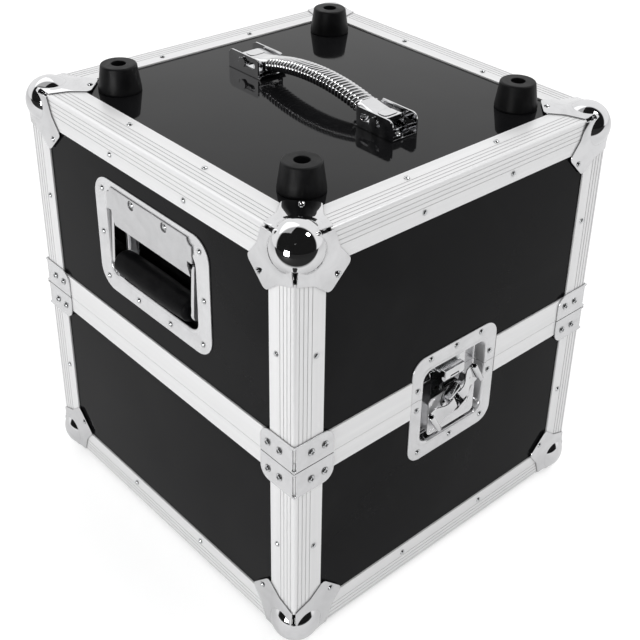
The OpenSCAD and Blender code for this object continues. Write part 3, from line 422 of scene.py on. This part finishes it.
def makeFoam():
    look = {"dark": (0.045, 0.045, 0.048), "light": (0.10, 0.10, 0.105), "roughness": 0.95,
            "reflection": 0.15, "sheen": 0.25, "cellScale": 700.0, "cells": 0.7, "cellDepth": 0.0006}
    material, tree, shader = startMaterial("greyFoam", {
        "Roughness": look["roughness"], "Specular IOR Level": look["reflection"],
        "Sheen Weight": look["sheen"]})
    cells = put(tree, "ShaderNodeTexVoronoi", {"Scale": look["cellScale"]})
    wire(tree, objectSpace(tree), cells.inputs["Vector"])
    wire(tree, blendColours(tree, cells.outputs["Distance"], look["dark"], look["light"]),
         shader.inputs["Base Color"])
    addBump(tree, shader, cells.outputs["Distance"], look["cells"], look["cellDepth"])
    return material


laminate = makeLaminate("blackLaminate", reflection=0.045, roughness=(0.06, 0.16))
polishedLaminate = makeLaminate("polishedLaminate", reflection=0.15, roughness=(0.04, 0.1))
aluminiumX = makeAluminium("aluminiumAlongX", (0.008, 1, 1))
aluminiumY = makeAluminium("aluminiumAlongY", (1, 0.008, 1))
aluminiumZ = makeAluminium("aluminiumAlongZ", (1, 1, 0.008))
chrome = makeSteel("chromedSteel", (0.74, 0.74, 0.75), (0.03, 0.12), wave=0.0004, waveScale=55.0)
pressedSteel = makeSteel("pressedChrome", (0.71, 0.71, 0.72), (0.14, 0.28), wave=0.0006, waveScale=90.0,
                         metallic=0.6)
dentedSteel = makeSteel("dentedChrome", (0.62, 0.62, 0.63), (0.1, 0.22), wave=0.0022, waveScale=62.0,
                        metallic=0.85)
satinSteel = makeSteel("satinSteel", (0.74, 0.74, 0.75), (0.2, 0.34), wave=0.0003, waveScale=120.0,
                       metallic=0.7)
zinc = makeSteel("zincPlatedSteel", (0.62, 0.63, 0.64), (0.16, 0.34), wave=0.0003, waveScale=140.0)
rubber = makeRubber("blackRubber", reflection=0.2)
gripRubber = makeRubber("softGripRubber", reflection=0.05)
foam = makeFoam()

finishes = [
    (polishedLaminate, ["lid_top_panel"]),
    (laminate, [name for name in nodes if name.endswith("_panel") and name != "lid_top_panel"]),
    (aluminiumX, [name for name in nodes if name.endswith("_x")]),
    (aluminiumY, [name for name in nodes if name.endswith("_y")]),
    (aluminiumZ, ["base_posts", "lid_posts"]),
    (chrome, ["base_ball_corners", "lid_ball_corners", "top_handle_brackets", "top_handle_strap",
              "top_handle_pins", "top_handle_coil", "side_handle_bail"]),
    (pressedSteel, ["base_split_brackets", "lid_split_brackets", "side_handle_dish",
                    "front_latch_dish", "back_latch_dish", "front_keeper_dish", "back_keeper_dish"]),
    (dentedSteel, ["side_handle_hinge_plate"]),
    (zinc, [name for name in nodes if name.endswith(("_rivets", "_screws", "_springs", "_keeper"))]),
    (satinSteel, ["front_latch_plate", "back_latch_plate"]),
    (chrome, [name for name in nodes if name.endswith(("_draw_plate", "_hook", "_rotor", "_wing_left",
                                                       "_wing_right"))]),
    (rubber, ["rubber_feet"]),
    (gripRubber, ["side_handle_grip"]),
    (foam, ["base_foam_pad", "lid_foam_pad"]),
]


def finishNodes():
    for material, names in finishes:
        for name in names:
            mesh = nodes[name].data
            mesh.materials.clear()
            mesh.materials.append(material)
    bare = set(nodes) - {name for _, names in finishes for name in names}
    print("finishes given; nodes without one:", sorted(bare))


finishNodes()


def clamped(value):
    return min(1.0, max(0.0, value))


def eased(part):
    # From 0 to 1 with a soft start and end
    return part * part * (3 - 2 * part)


def onCircle(x, y, radius, degrees):
    return x + radius * math.cos(math.radians(degrees)), y + radius * math.sin(math.radians(degrees))


def roundedOutline(wide, tall, radius, steps=8):
    points = []
    for i, (x, y) in enumerate(((1, 1), (-1, 1), (-1, -1), (1, -1))):
        for j in range(steps + 1):
            points.append(onCircle(x * (wide / 2 - radius), y * (tall / 2 - radius), radius,
                                   90 * (i + j / steps)))
    return points


def selectOnly(piece):
    bpy.ops.object.select_all(action="DESELECT")
    piece.select_set(True)
    bpy.context.view_layer.objects.active = piece


def startPiece(name, points, edges, faces):
    data = bpy.data.meshes.new(name)
    data.from_pydata(points, edges, faces)
    piece = bpy.data.objects.new(name, data)
    bpy.context.scene.collection.objects.link(piece)
    selectOnly(piece)
    return piece


def editAll():
    # Into edit mode, with all of the active piece selected
    bpy.ops.object.mode_set(mode="EDIT")
    bpy.ops.mesh.select_mode(type="VERT")
    bpy.ops.mesh.select_all(action="SELECT")


def endEdit():
    bpy.ops.object.mode_set(mode="OBJECT")


def placeApplied():
    bpy.ops.object.transform_apply(location=True, rotation=True, scale=True)


def applied(piece, kind, **settings):
    selectOnly(piece)
    modifier = piece.modifiers.new(kind.lower(), kind)
    for key, value in settings.items():
        setattr(modifier, key, value)
    bpy.ops.object.modifier_apply(modifier=modifier.name)


def softEdges(piece, width, degrees):
    applied(piece, "BEVEL", width=width, segments=2, limit_method="ANGLE", angle_limit=math.radians(degrees))


def cutAway(piece, size, place):
    # A cube of that size is taken out of the piece
    bpy.ops.object.select_all(action="DESELECT")
    bpy.ops.mesh.primitive_cube_add(size=size, location=place)
    cutter = bpy.context.active_object
    applied(piece, "BOOLEAN", operation="DIFFERENCE", object=cutter, solver="EXACT")
    bpy.data.objects.remove(cutter)


def tidyNormals(piece, smoothAngle=None):
    selectOnly(piece)
    editAll()
    bpy.ops.mesh.normals_make_consistent(inside=False)
    endEdit()
    if smoothAngle is None:
        bpy.ops.object.shade_smooth()
    else:
        bpy.ops.object.shade_smooth_by_angle(angle=math.radians(smoothAngle))


def selectNothing(mesh):
    for items in (mesh.vertices, mesh.edges, mesh.polygons):
        for item in items:
            item.select = False


def selectFacesTowards(piece, direction):
    selectNothing(piece.data)
    for face in piece.data.polygons:
        face.select = face.normal.dot(direction) > 0.99


def copied(piece, name, matrix):
    copy = piece.copy()
    copy.name = name
    copy.data = piece.data.copy()
    copy.data.transform(matrix)
    if matrix.determinant() < 0:
        copy.data.flip_normals()
    bpy.context.scene.collection.objects.link(copy)
    return copy


def joined(pieces, name):
    selectOnly(pieces[0])
    for piece in pieces:
        piece.select_set(True)
    bpy.ops.object.join()
    pieces[0].name = name
    return pieces[0]


def standIn(piece, node, body):
    # The piece takes the CAD node's place, and its finish if it has none of its own
    if not piece.data.materials:
        piece.data.materials.append(nodes[node].data.materials[0])
    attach(piece, body)
    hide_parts(node)


# The coil on the top handle's strap
def sweepWire(name, route, thickness, sides):
    # A round wire along the points of the route
    data = bpy.data.curves.new(name, "CURVE")
    data.dimensions = "3D"
    data.bevel_depth = thickness / 2
    data.bevel_resolution = sides
    data.use_fill_caps = True
    spline = data.splines.new("POLY")
    spline.points.add(len(route) - 1)
    for point, place in zip(spline.points, route):
        point.co = (*place, 1)
    piece = bpy.data.objects.new(name, data)
    bpy.context.scene.collection.objects.link(piece)
    selectOnly(piece)
    bpy.ops.object.convert(target="MESH")
    bpy.ops.object.shade_smooth()
    return bpy.context.active_object


def squarish(value, power):
    # Turns a sine or cosine of a circle into that of a rounded rectangle
    return math.copysign(abs(value) ** power, value)


def makeHandleCoil():
    coil = {"turns": 30, "wire": 0.0034, "tall": 0.0125, "archRadius": 0.240, "pointsPerTurn": 28,
            "squareness": 0.56}
    low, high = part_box("top_handle_coil")
    span = 2 * math.asin(max(-low.y, high.y) / coil["archRadius"])
    margin = coil["wire"] / 2 / coil["archRadius"]
    halfWide = (high.x - low.x - coil["wire"]) / 2
    halfTall = (coil["tall"] - coil["wire"]) / 2
    archMiddle = high.z - coil["tall"] / 2 - coil["archRadius"]
    count = coil["turns"] * coil["pointsPerTurn"]
    route = []
    for i in range(count + 1):
        around = 2 * math.pi * i / coil["pointsPerTurn"]
        tilt = (span / 2 - margin) * (2 * i / count - 1)
        out = coil["archRadius"] + halfTall * squarish(math.sin(around), coil["squareness"])
        route.append((halfWide * squarish(math.cos(around), coil["squareness"]),
                      out * math.sin(tilt), archMiddle + out * math.cos(tilt)))
    standIn(sweepWire("handleCoil", route, coil["wire"], sides=3), "top_handle_coil", "top_handle")


makeHandleCoil()
print("handle coil wound")


# The hoods at the ends of the handle's strap
def makeStrapHoods():
    # Each section is its distance from the middle, height over the panel, width and thickness
    hood = {"panel": 0.4100, "corner": 0.0054, "cornerSteps": 5, "softEdge": 0.0006, "sections": [
        (0.0605, 0.0143, 0.0216, 0.0112), (0.0640, 0.0136, 0.0236, 0.0124), (0.0680, 0.0134, 0.0242, 0.0112),
        (0.0730, 0.0137, 0.0242, 0.0088), (0.0790, 0.0143, 0.0240, 0.0058), (0.0840, 0.0148, 0.0236, 0.0034),
        (0.0870, 0.01495, 0.0232, 0.0026), (0.0975, 0.01495, 0.0226, 0.0026)]}
    halves = []
    for side in (1, -1):
        away, high, wide, thick = hood["sections"][0]
        outline = roundedOutline(wide, thick, hood["corner"], hood["cornerSteps"])
        count = len(outline)
        half = startPiece("strapHood", [(x, side * away, z + high + hood["panel"]) for x, z in outline],
                          [(i, (i + 1) % count) for i in range(count)], [])
        editAll()
        for nextAway, nextHigh, nextWide, nextThick in hood["sections"][1:]:
            bpy.ops.mesh.extrude_edges_move(
                TRANSFORM_OT_translate={"value": (0, side * (nextAway - away), nextHigh - high)})
            bpy.ops.transform.resize(value=(nextWide / wide, 1, nextThick / thick),
                                     center_override=(0, side * nextAway, nextHigh + hood["panel"]))
            away, high, wide, thick = nextAway, nextHigh, nextWide, nextThick
        bpy.ops.mesh.edge_face_add()
        endEdit()
        softEdges(half, hood["softEdge"], 60)
        applied(half, "SUBSURF", levels=1)
        tidyNormals(half, 50)
        halves.append(half)
    standIn(joined(halves, "strapHoods"), "top_handle_strap", "top_handle")


# The pressed ball corners, each drawn with the case towards +x, +y and +z
case = {"halfWide": 0.185, "halfDeep": 0.188, "floor": 0.0075, "top": 0.4115, "split": 0.2015,
        "latchAxis": 0.1855}  # the rotor's axis is 16 mm below the split


def petalOutline():
    petal = {"slit": 0.0016, "edge": 0.037, "reach": 0.019, "shoulder": (0.0180, 0.0425), "lobe": 0.053,
             "lobeBack": 0.0205, "fillet": 0.0055}
    out = petal["lobe"] - petal["fillet"]
    along = petal["lobe"] - petal["lobeBack"]
    half = [(petal["slit"], petal["reach"]), (petal["slit"], petal["edge"]), petal["shoulder"]]
    half += [onCircle(along, out, petal["fillet"], degrees) for degrees in range(112, 44, -11)]
    return half + [(y, x) for x, y in reversed(half)]


def makeCollar(corner, middle):
    # A low cone round the ball on one face, cut off at the case's edges and carried on inwards
    deep = corner["collarHigh"] - corner["collarLow"]
    bpy.ops.mesh.primitive_cone_add(vertices=72, radius1=corner["collarOuter"], radius2=corner["collarInner"],
                                    depth=deep,
                                    location=(middle.x, middle.y, deep / 2 - corner["collarHigh"]))
    collar = bpy.context.active_object
    placeApplied()
    bpy.ops.object.mode_set(mode="EDIT")
    for axis in ((1, 0, 0), (0, 1, 0)):
        bpy.ops.mesh.select_all(action="SELECT")
        bpy.ops.mesh.bisect(plane_co=[part * corner["beyondEdge"] for part in axis], plane_no=axis,
                            use_fill=True, clear_inner=True)
    bpy.ops.mesh.select_all(action="DESELECT")
    endEdit()
    selectFacesTowards(collar, Vector((0, 0, 1)))
    bpy.ops.object.mode_set(mode="EDIT")
    bpy.ops.mesh.extrude_region_move(TRANSFORM_OT_translate={"value": (0, 0, corner["collarRoot"])})
    endEdit()
    return collar


def makeRound(dome, corner, middle):
    # What is close to the ball's surface, and all of its outer cap, goes back onto a true sphere
    outwards = Vector((-1, -1, -1)).normalized()
    for point in dome.data.vertices:
        offset = point.co - middle
        astray = abs(offset.length - corner["radius"])
        close = (corner["roundTo"] - astray) / (corner["roundTo"] - corner["roundFrom"])
        facing = offset.normalized().dot(outwards)
        cap = (facing - corner["capFrom"]) / (corner["capTo"] - corner["capFrom"])
        point.co = point.co.lerp(middle + offset.normalized() * corner["radius"], clamped(max(close, cap)))


def makeBall(corner, middle, thirds):
    # The ball and its three collars melt into one skin, which is cut open towards the case
    bpy.ops.object.select_all(action="DESELECT")
    bpy.ops.mesh.primitive_uv_sphere_add(radius=corner["radius"], segments=64, ring_count=40, location=middle)
    dome = bpy.context.active_object
    dome.name = "ballCorner"
    placeApplied()
    collar = makeCollar(corner, middle)
    collars = [copied(collar, "collar", third) for third in thirds]
    bpy.data.objects.remove(collar)
    dome = joined([dome] + collars, "ballCorner")
    applied(dome, "REMESH", mode="VOXEL", voxel_size=corner["voxel"])
    for passes in corner["melt"]:
        applied(dome, "SMOOTH", factor=0.5, iterations=passes)
        makeRound(dome, corner, middle)
    cutAway(dome, corner["hollow"], [corner["hollowFrom"] + corner["hollow"] / 2] * 3)
    for axis in range(3):
        place = [corner["slit"] - corner["slitLength"] / 2] * 3
        place[axis] = corner["slitFrom"] + corner["slitLength"] / 2
        cutAway(dome, corner["slitLength"], place)
    return dome


def makePetals(corner, thirds):
    outline = petalOutline()
    flat = startPiece("petal", [(x, y, 0) for x, y in outline], [], [tuple(range(len(outline)))])
    editAll()
    bpy.ops.mesh.extrude_region_move(TRANSFORM_OT_translate={"value": (0, 0, -corner["sheet"])})
    endEdit()
    tidyNormals(flat)
    softEdges(flat, corner["softEdge"], 30)
    petals = [copied(flat, "petal", third) for third in thirds]
    bpy.data.objects.remove(flat)
    for piece in petals:
        tidyNormals(piece, 40)
    return petals


def makeBallCorner():
    corner = {
        "radius": 0.022, "inset": 0.0145, "sheet": 0.0012, "softEdge": 0.0004,
        "collarOuter": 0.0152, "collarInner": 0.0210, "collarHigh": 0.0018, "collarLow": 0.0009,
        "collarRoot": 0.004, "beyondEdge": -0.0004,
        "voxel": 0.0005, "melt": (14, 6),          # smoothing passes, in two rounds
        "roundFrom": 0.00015, "roundTo": 0.0004,   # how far astray a point may be to be made round
        "capFrom": 0.74, "capTo": 0.80,            # cosine from the corner's diagonal
        "hollow": 0.08, "hollowFrom": 0.0015,
        "slit": 0.0016, "slitFrom": 0.0235, "slitLength": 0.02,
    }
    middle = Vector([corner["inset"]] * 3)
    thirds = [Matrix.Rotation(math.radians(120 * i), 4, Vector((1, 1, 1))) for i in range(3)]
    ball = makeBall(corner, middle, thirds)
    petals = makePetals(corner, thirds)
    tidyNormals(ball)
    return joined([ball] + petals, "ballCorner")


def placeBallCorners(corner):
    for body, level, up in (("base", case["floor"], 1), ("lid", case["top"], -1)):
        copies = []
        for x, y in ((1, 1), (-1, 1), (-1, -1), (1, -1)):
            place = Matrix.Translation((x * case["halfWide"], y * case["halfDeep"], level))
            copies.append(copied(corner, "ballCorner", place @ Matrix.Diagonal((-x, -y, up, 1))))
        standIn(joined(copies, body + "BallCorners"), body + "_ball_corners", body)
    bpy.data.objects.remove(corner)


placeBallCorners(makeBallCorner())
print("ball corners pressed")


# The dishes of the latches and of the side handle
latchDish = {
    "wide": 0.108, "tall": 0.111, "corner": 0.015, "middle": 0.189, "flange": -0.0003,
    "mouthWide": 0.079, "mouthTall": 0.077, "mouthCorner": 0.007, "mouthMiddle": 0.189, "ridge": 0.0085,
    "sheet": 0.0012, "softEdge": 0.0003, "splitGap": 0.0003,
    # Each step goes inwards, then into the wall
    "profile": [(0.0007, -0.0004), (0.0010, -0.0004), (0.0009, 0.0001), (0.0007, 0.0005), (0.0005, 0.0009),
                (0.0003, 0.0020), (0.0004, 0.0060), (0.0007, 0.0018), (0.0015, 0.0010)],
}
sideDish = {
    "wide": 0.166, "tall": 0.113, "corner": 0.020, "middle": 0.30715, "flange": -0.0003,
    "mouthWide": 0.129, "mouthTall": 0.0735, "mouthCorner": 0.008, "mouthMiddle": 0.3069, "ridge": 0.0085,
    "sheet": 0.0012, "softEdge": 0.0003,
    "profile": [(0.0007, -0.0003), (0.0010, -0.0003), (0.0009, 0.0001), (0.0007, 0.0004), (0.0005, 0.0008),
                (0.0002, 0.0020), (0.0002, 0.0115), (0.0008, 0.0024), (0.0018, 0.0011)],
}


def wallVector(wall, along, up, out):
    # A length along a wall, up and outwards
    return Vector({"front": (along, -out, up), "back": (-along, out, up), "left": (-out, -along, up)}[wall])


def wallFace(wall):
    return case["halfWide"] if wall == "left" else case["halfDeep"]


def wallPlace(wall, along, up, out):
    # The same lengths from the case's middle, from the ground and from the wall's outside
    return wallVector(wall, along, up, out + wallFace(wall))


def makeFlange(name, wall, dish):
    # A flat ring from the outline to the ridge round the mouth, with the ridge's loop left selected
    outer = roundedOutline(dish["wide"], dish["tall"], dish["corner"])
    ridge = roundedOutline(dish["mouthWide"] + dish["ridge"], dish["mouthTall"] + dish["ridge"],
                           dish["mouthCorner"] + dish["ridge"] / 2)
    count = len(outer)
    points = [wallPlace(wall, a, b + dish["middle"], dish["flange"]) for a, b in outer]
    points += [wallPlace(wall, a, b + dish["mouthMiddle"], dish["flange"]) for a, b in ridge]
    edges = [(k * count + i, k * count + (i + 1) % count) for k in (0, 1) for i in range(count)]
    piece = startPiece(name, points, edges, [])
    editAll()
    bpy.ops.mesh.bridge_edge_loops()
    endEdit()
    selectNothing(piece.data)
    for i, point in enumerate(piece.data.vertices):
        point.select = i >= count
    for edge in piece.data.edges:
        edge.select = min(edge.vertices) >= count
    return piece


def sinkMouth(wall, dish):
    # The selected loop goes down into the wall step by step, and the dish's floor closes it
    wide = dish["mouthWide"] + dish["ridge"]
    tall = dish["mouthTall"] + dish["ridge"]
    centre = wallPlace(wall, 0, dish["mouthMiddle"], 0)
    bpy.ops.object.mode_set(mode="EDIT")
    for shrink, sink in dish["profile"]:
        scale = wallVector(wall, (wide - 2 * shrink) / wide, (tall - 2 * shrink) / tall, 1)
        bpy.ops.mesh.extrude_edges_move(TRANSFORM_OT_translate={"value": wallVector(wall, 0, 0, -sink)})
        bpy.ops.transform.resize(value=tuple(abs(part) for part in scale), center_override=centre)
        wide -= 2 * shrink
        tall -= 2 * shrink
    bpy.ops.mesh.edge_face_add()
    endEdit()


def polishMouth(piece, wall):
    # Chrome below the rim, but not on the side walls nor on the sheet's back
    polish = {"below": 0.0012, "back": -0.9, "sideWall": 0.6}
    outwards, sideways = wallVector(wall, 0, 0, 1), wallVector(wall, 1, 0, 0)
    rim = wallFace(wall) - polish["below"]
    piece.data.materials.append(pressedSteel)
    piece.data.materials.append(chrome)
    for face in piece.data.polygons:
        inside = face.center.dot(outwards) < rim and face.normal.dot(outwards) > polish["back"]
        face.material_index = int(inside and abs(face.normal.dot(sideways)) < polish["sideWall"])


def pressDish(name, wall, dish):
    piece = makeFlange(name, wall, dish)
    sinkMouth(wall, dish)
    tidyNormals(piece)
    outwards = wallVector(wall, 0, 0, 1)  # an open sheet's normals may all have turned inwards
    if sum(face.normal.dot(outwards) * face.area for face in piece.data.polygons) < 0:
        piece.data.flip_normals()
    applied(piece, "SOLIDIFY", thickness=dish["sheet"], offset=-1.0, use_even_offset=True)
    softEdges(piece, dish["softEdge"], 50)
    polishMouth(piece, wall)
    return piece


def cutAt(piece, name, level, keepAbove):
    part = copied(piece, name, Matrix.Identity(4))
    selectOnly(part)
    editAll()
    bpy.ops.mesh.bisect(plane_co=(0, 0, level), plane_no=(0, 0, 1), use_fill=True,
                        clear_inner=keepAbove, clear_outer=not keepAbove)
    endEdit()
    return part


def settled(piece):
    tidyNormals(piece, 42)
    applied(piece, "WEIGHTED_NORMAL", keep_sharp=True)
    return piece


def placeDishes():
    for side in ("front", "back"):
        whole = pressDish("latchDish", side, latchDish)
        lower = cutAt(whole, side + "LatchDish", case["split"], False)
        upper = cutAt(whole, side + "KeeperDish", case["split"] + latchDish["splitGap"], True)
        bpy.data.objects.remove(whole)
        standIn(settled(lower), side + "_latch_dish", "base")
        standIn(settled(upper), side + "_keeper_dish", "lid")
    standIn(settled(pressDish("sideDish", "left", sideDish)), "side_handle_dish", "lid")


placeDishes()
print("dishes pressed")


# CAD pieces that only need their edges eased, each group with its own width of edge
easedPieces = [
    (0.0004, ["base_split_brackets", "lid_split_brackets", "side_handle_hinge_plate", "top_handle_brackets",
              "top_handle_strap"]),
    (0.0008, ["rubber_feet"]),
    (0.0005, ["side_handle_bail", "side_handle_grip"]),
    (0.00025, [side + part for side in ("front", "back")
               for part in ("_latch_plate", "_latch_rotor", "_draw_plate", "_hook", "_keeper")]),
]


def easeEdges(name, width):
    join = {"doubles": 0.00001, "flat": math.radians(1)}  # the CAD mesh is loose triangles
    body = body_of(nodes[name])[0]
    piece = copied(nodes[name], "eased_" + name, Matrix.Identity(4))
    piece.parent = None
    selectOnly(piece)
    bpy.ops.mesh.customdata_custom_splitnormals_clear()
    editAll()
    bpy.ops.mesh.remove_doubles(threshold=join["doubles"])
    bpy.ops.mesh.dissolve_limited(angle_limit=join["flat"])
    endEdit()
    softEdges(piece, width, 30)
    tidyNormals(piece, 40)
    applied(piece, "WEIGHTED_NORMAL", keep_sharp=True)
    standIn(piece, name, body)


for edgeWidth, names in easedPieces:
    for name in names:
        easeEdges(name, edgeWidth)
makeStrapHoods()
print("edges eased and hoods pressed")


# The wings of the latches
def makeWing():
    # Points outwards along x from the rotor's axis, with its hinge along y
    wing = {
        "hinge": 0.0055, "high": 0.0041, "roll": 0.0027,                    # the curl round the hinge's pin
        "slopeFrom": 0.0085, "slopeTo": 0.0251, "slopeSteps": 12, "low": 0.0013,
        "endAt": 0.0301, "endRoll": 0.0029, "endTurn": 0.0018, "endAngles": (-90, 260),  # the rolled end
        "narrow": 0.0066, "wide": 0.0112, "widenFrom": 0.012, "widenOver": 0.0135,
        "sheet": 0.0010, "softEdge": 0.00025,
    }
    crest = wing["high"] + wing["roll"]
    route = [onCircle(wing["hinge"], wing["high"], wing["roll"], degrees) for degrees in range(360, 79, -20)]
    for i in range(1, wing["slopeSteps"]):
        part = i / wing["slopeSteps"]
        route.append((wing["slopeFrom"] + (wing["slopeTo"] - wing["slopeFrom"]) * part,
                      crest - (crest - wing["low"]) * eased(part)))
    start, end = wing["endAngles"]
    for degrees in range(start, end + 1, 18):
        part = (degrees - start) / (end - start)
        turn = wing["endRoll"] + (wing["endTurn"] - wing["endRoll"]) * part
        route.append(onCircle(wing["endAt"], wing["low"] + wing["endRoll"], turn, degrees))
    edges = [(i, i + 1) for i in range(len(route) - 1)]
    piece = startPiece("wing", [(x, -1, z) for x, z in route], edges, [])
    editAll()
    bpy.ops.mesh.extrude_edges_move(TRANSFORM_OT_translate={"value": (0, 2, 0)})
    bpy.ops.mesh.select_all(action="SELECT")
    bpy.ops.mesh.subdivide(number_cuts=1)
    endEdit()
    for point in piece.data.vertices:  # the strip reaches from -1 to 1 and is narrowed to its real width
        part = clamped((point.co.x - wing["widenFrom"]) / wing["widenOver"])
        point.co.y *= wing["narrow"] + (wing["wide"] - wing["narrow"]) * eased(part)
    applied(piece, "SOLIDIFY", thickness=wing["sheet"], offset=0.0, use_even_offset=True)
    softEdges(piece, wing["softEdge"], 50)
    tidyNormals(piece, 45)
    return piece


def placeWings(wing):
    # A rotor at rest has its right wing 30 degrees up, and its left wing opposite
    upright = Matrix.Rotation(math.radians(90), 4, "X")
    for side, deep, facing in (("front", -case["halfDeep"], 0), ("back", case["halfDeep"], 180)):
        axis = Matrix.Translation((0, deep, case["latchAxis"]))
        axis = axis @ Matrix.Rotation(math.radians(facing), 4, "Z") @ upright
        for part, turn in (("right", 30), ("left", 210)):
            turned = axis @ Matrix.Rotation(math.radians(turn), 4, "Z")
            piece = copied(wing, side + part.capitalize() + "Wing", turned)
            standIn(piece, side + "_latch_wing_" + part, side + "_wing_" + part)
    bpy.data.objects.remove(wing)


placeWings(makeWing())
print("wings curled")


# The foam pads on the floor and under the top
def makeFoamPad(name, node, body):
    pad = {"inset": 0.0006, "round": 0.0035, "cuts": 22, "hollows": 0.06, "sag": 0.0011, "fill": 0.5}
    low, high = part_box(node)
    bpy.ops.object.select_all(action="DESELECT")
    bpy.ops.mesh.primitive_cube_add(size=1, location=(low + high) / 2)
    piece = bpy.context.active_object
    piece.name = name
    piece.scale = tuple(part - 2 * pad["inset"] for part in high - low)
    placeApplied()
    applied(piece, "BEVEL", width=pad["round"], segments=3)
    editAll()
    bpy.ops.mesh.subdivide(number_cuts=pad["cuts"])
    endEdit()
    cloud = bpy.data.textures.new(name + "Hollows", "CLOUDS")
    cloud.noise_scale = pad["hollows"]
    applied(piece, "DISPLACE", texture=cloud, texture_coords="LOCAL", strength=pad["sag"], mid_level=1.0)
    bpy.ops.object.shade_smooth()
    standIn(piece, node, body)


makeFoamPad("baseFoam", "base_foam_pad", "base")
makeFoamPad("lidFoam", "lid_foam_pad", "lid")
print("foam pads cut")
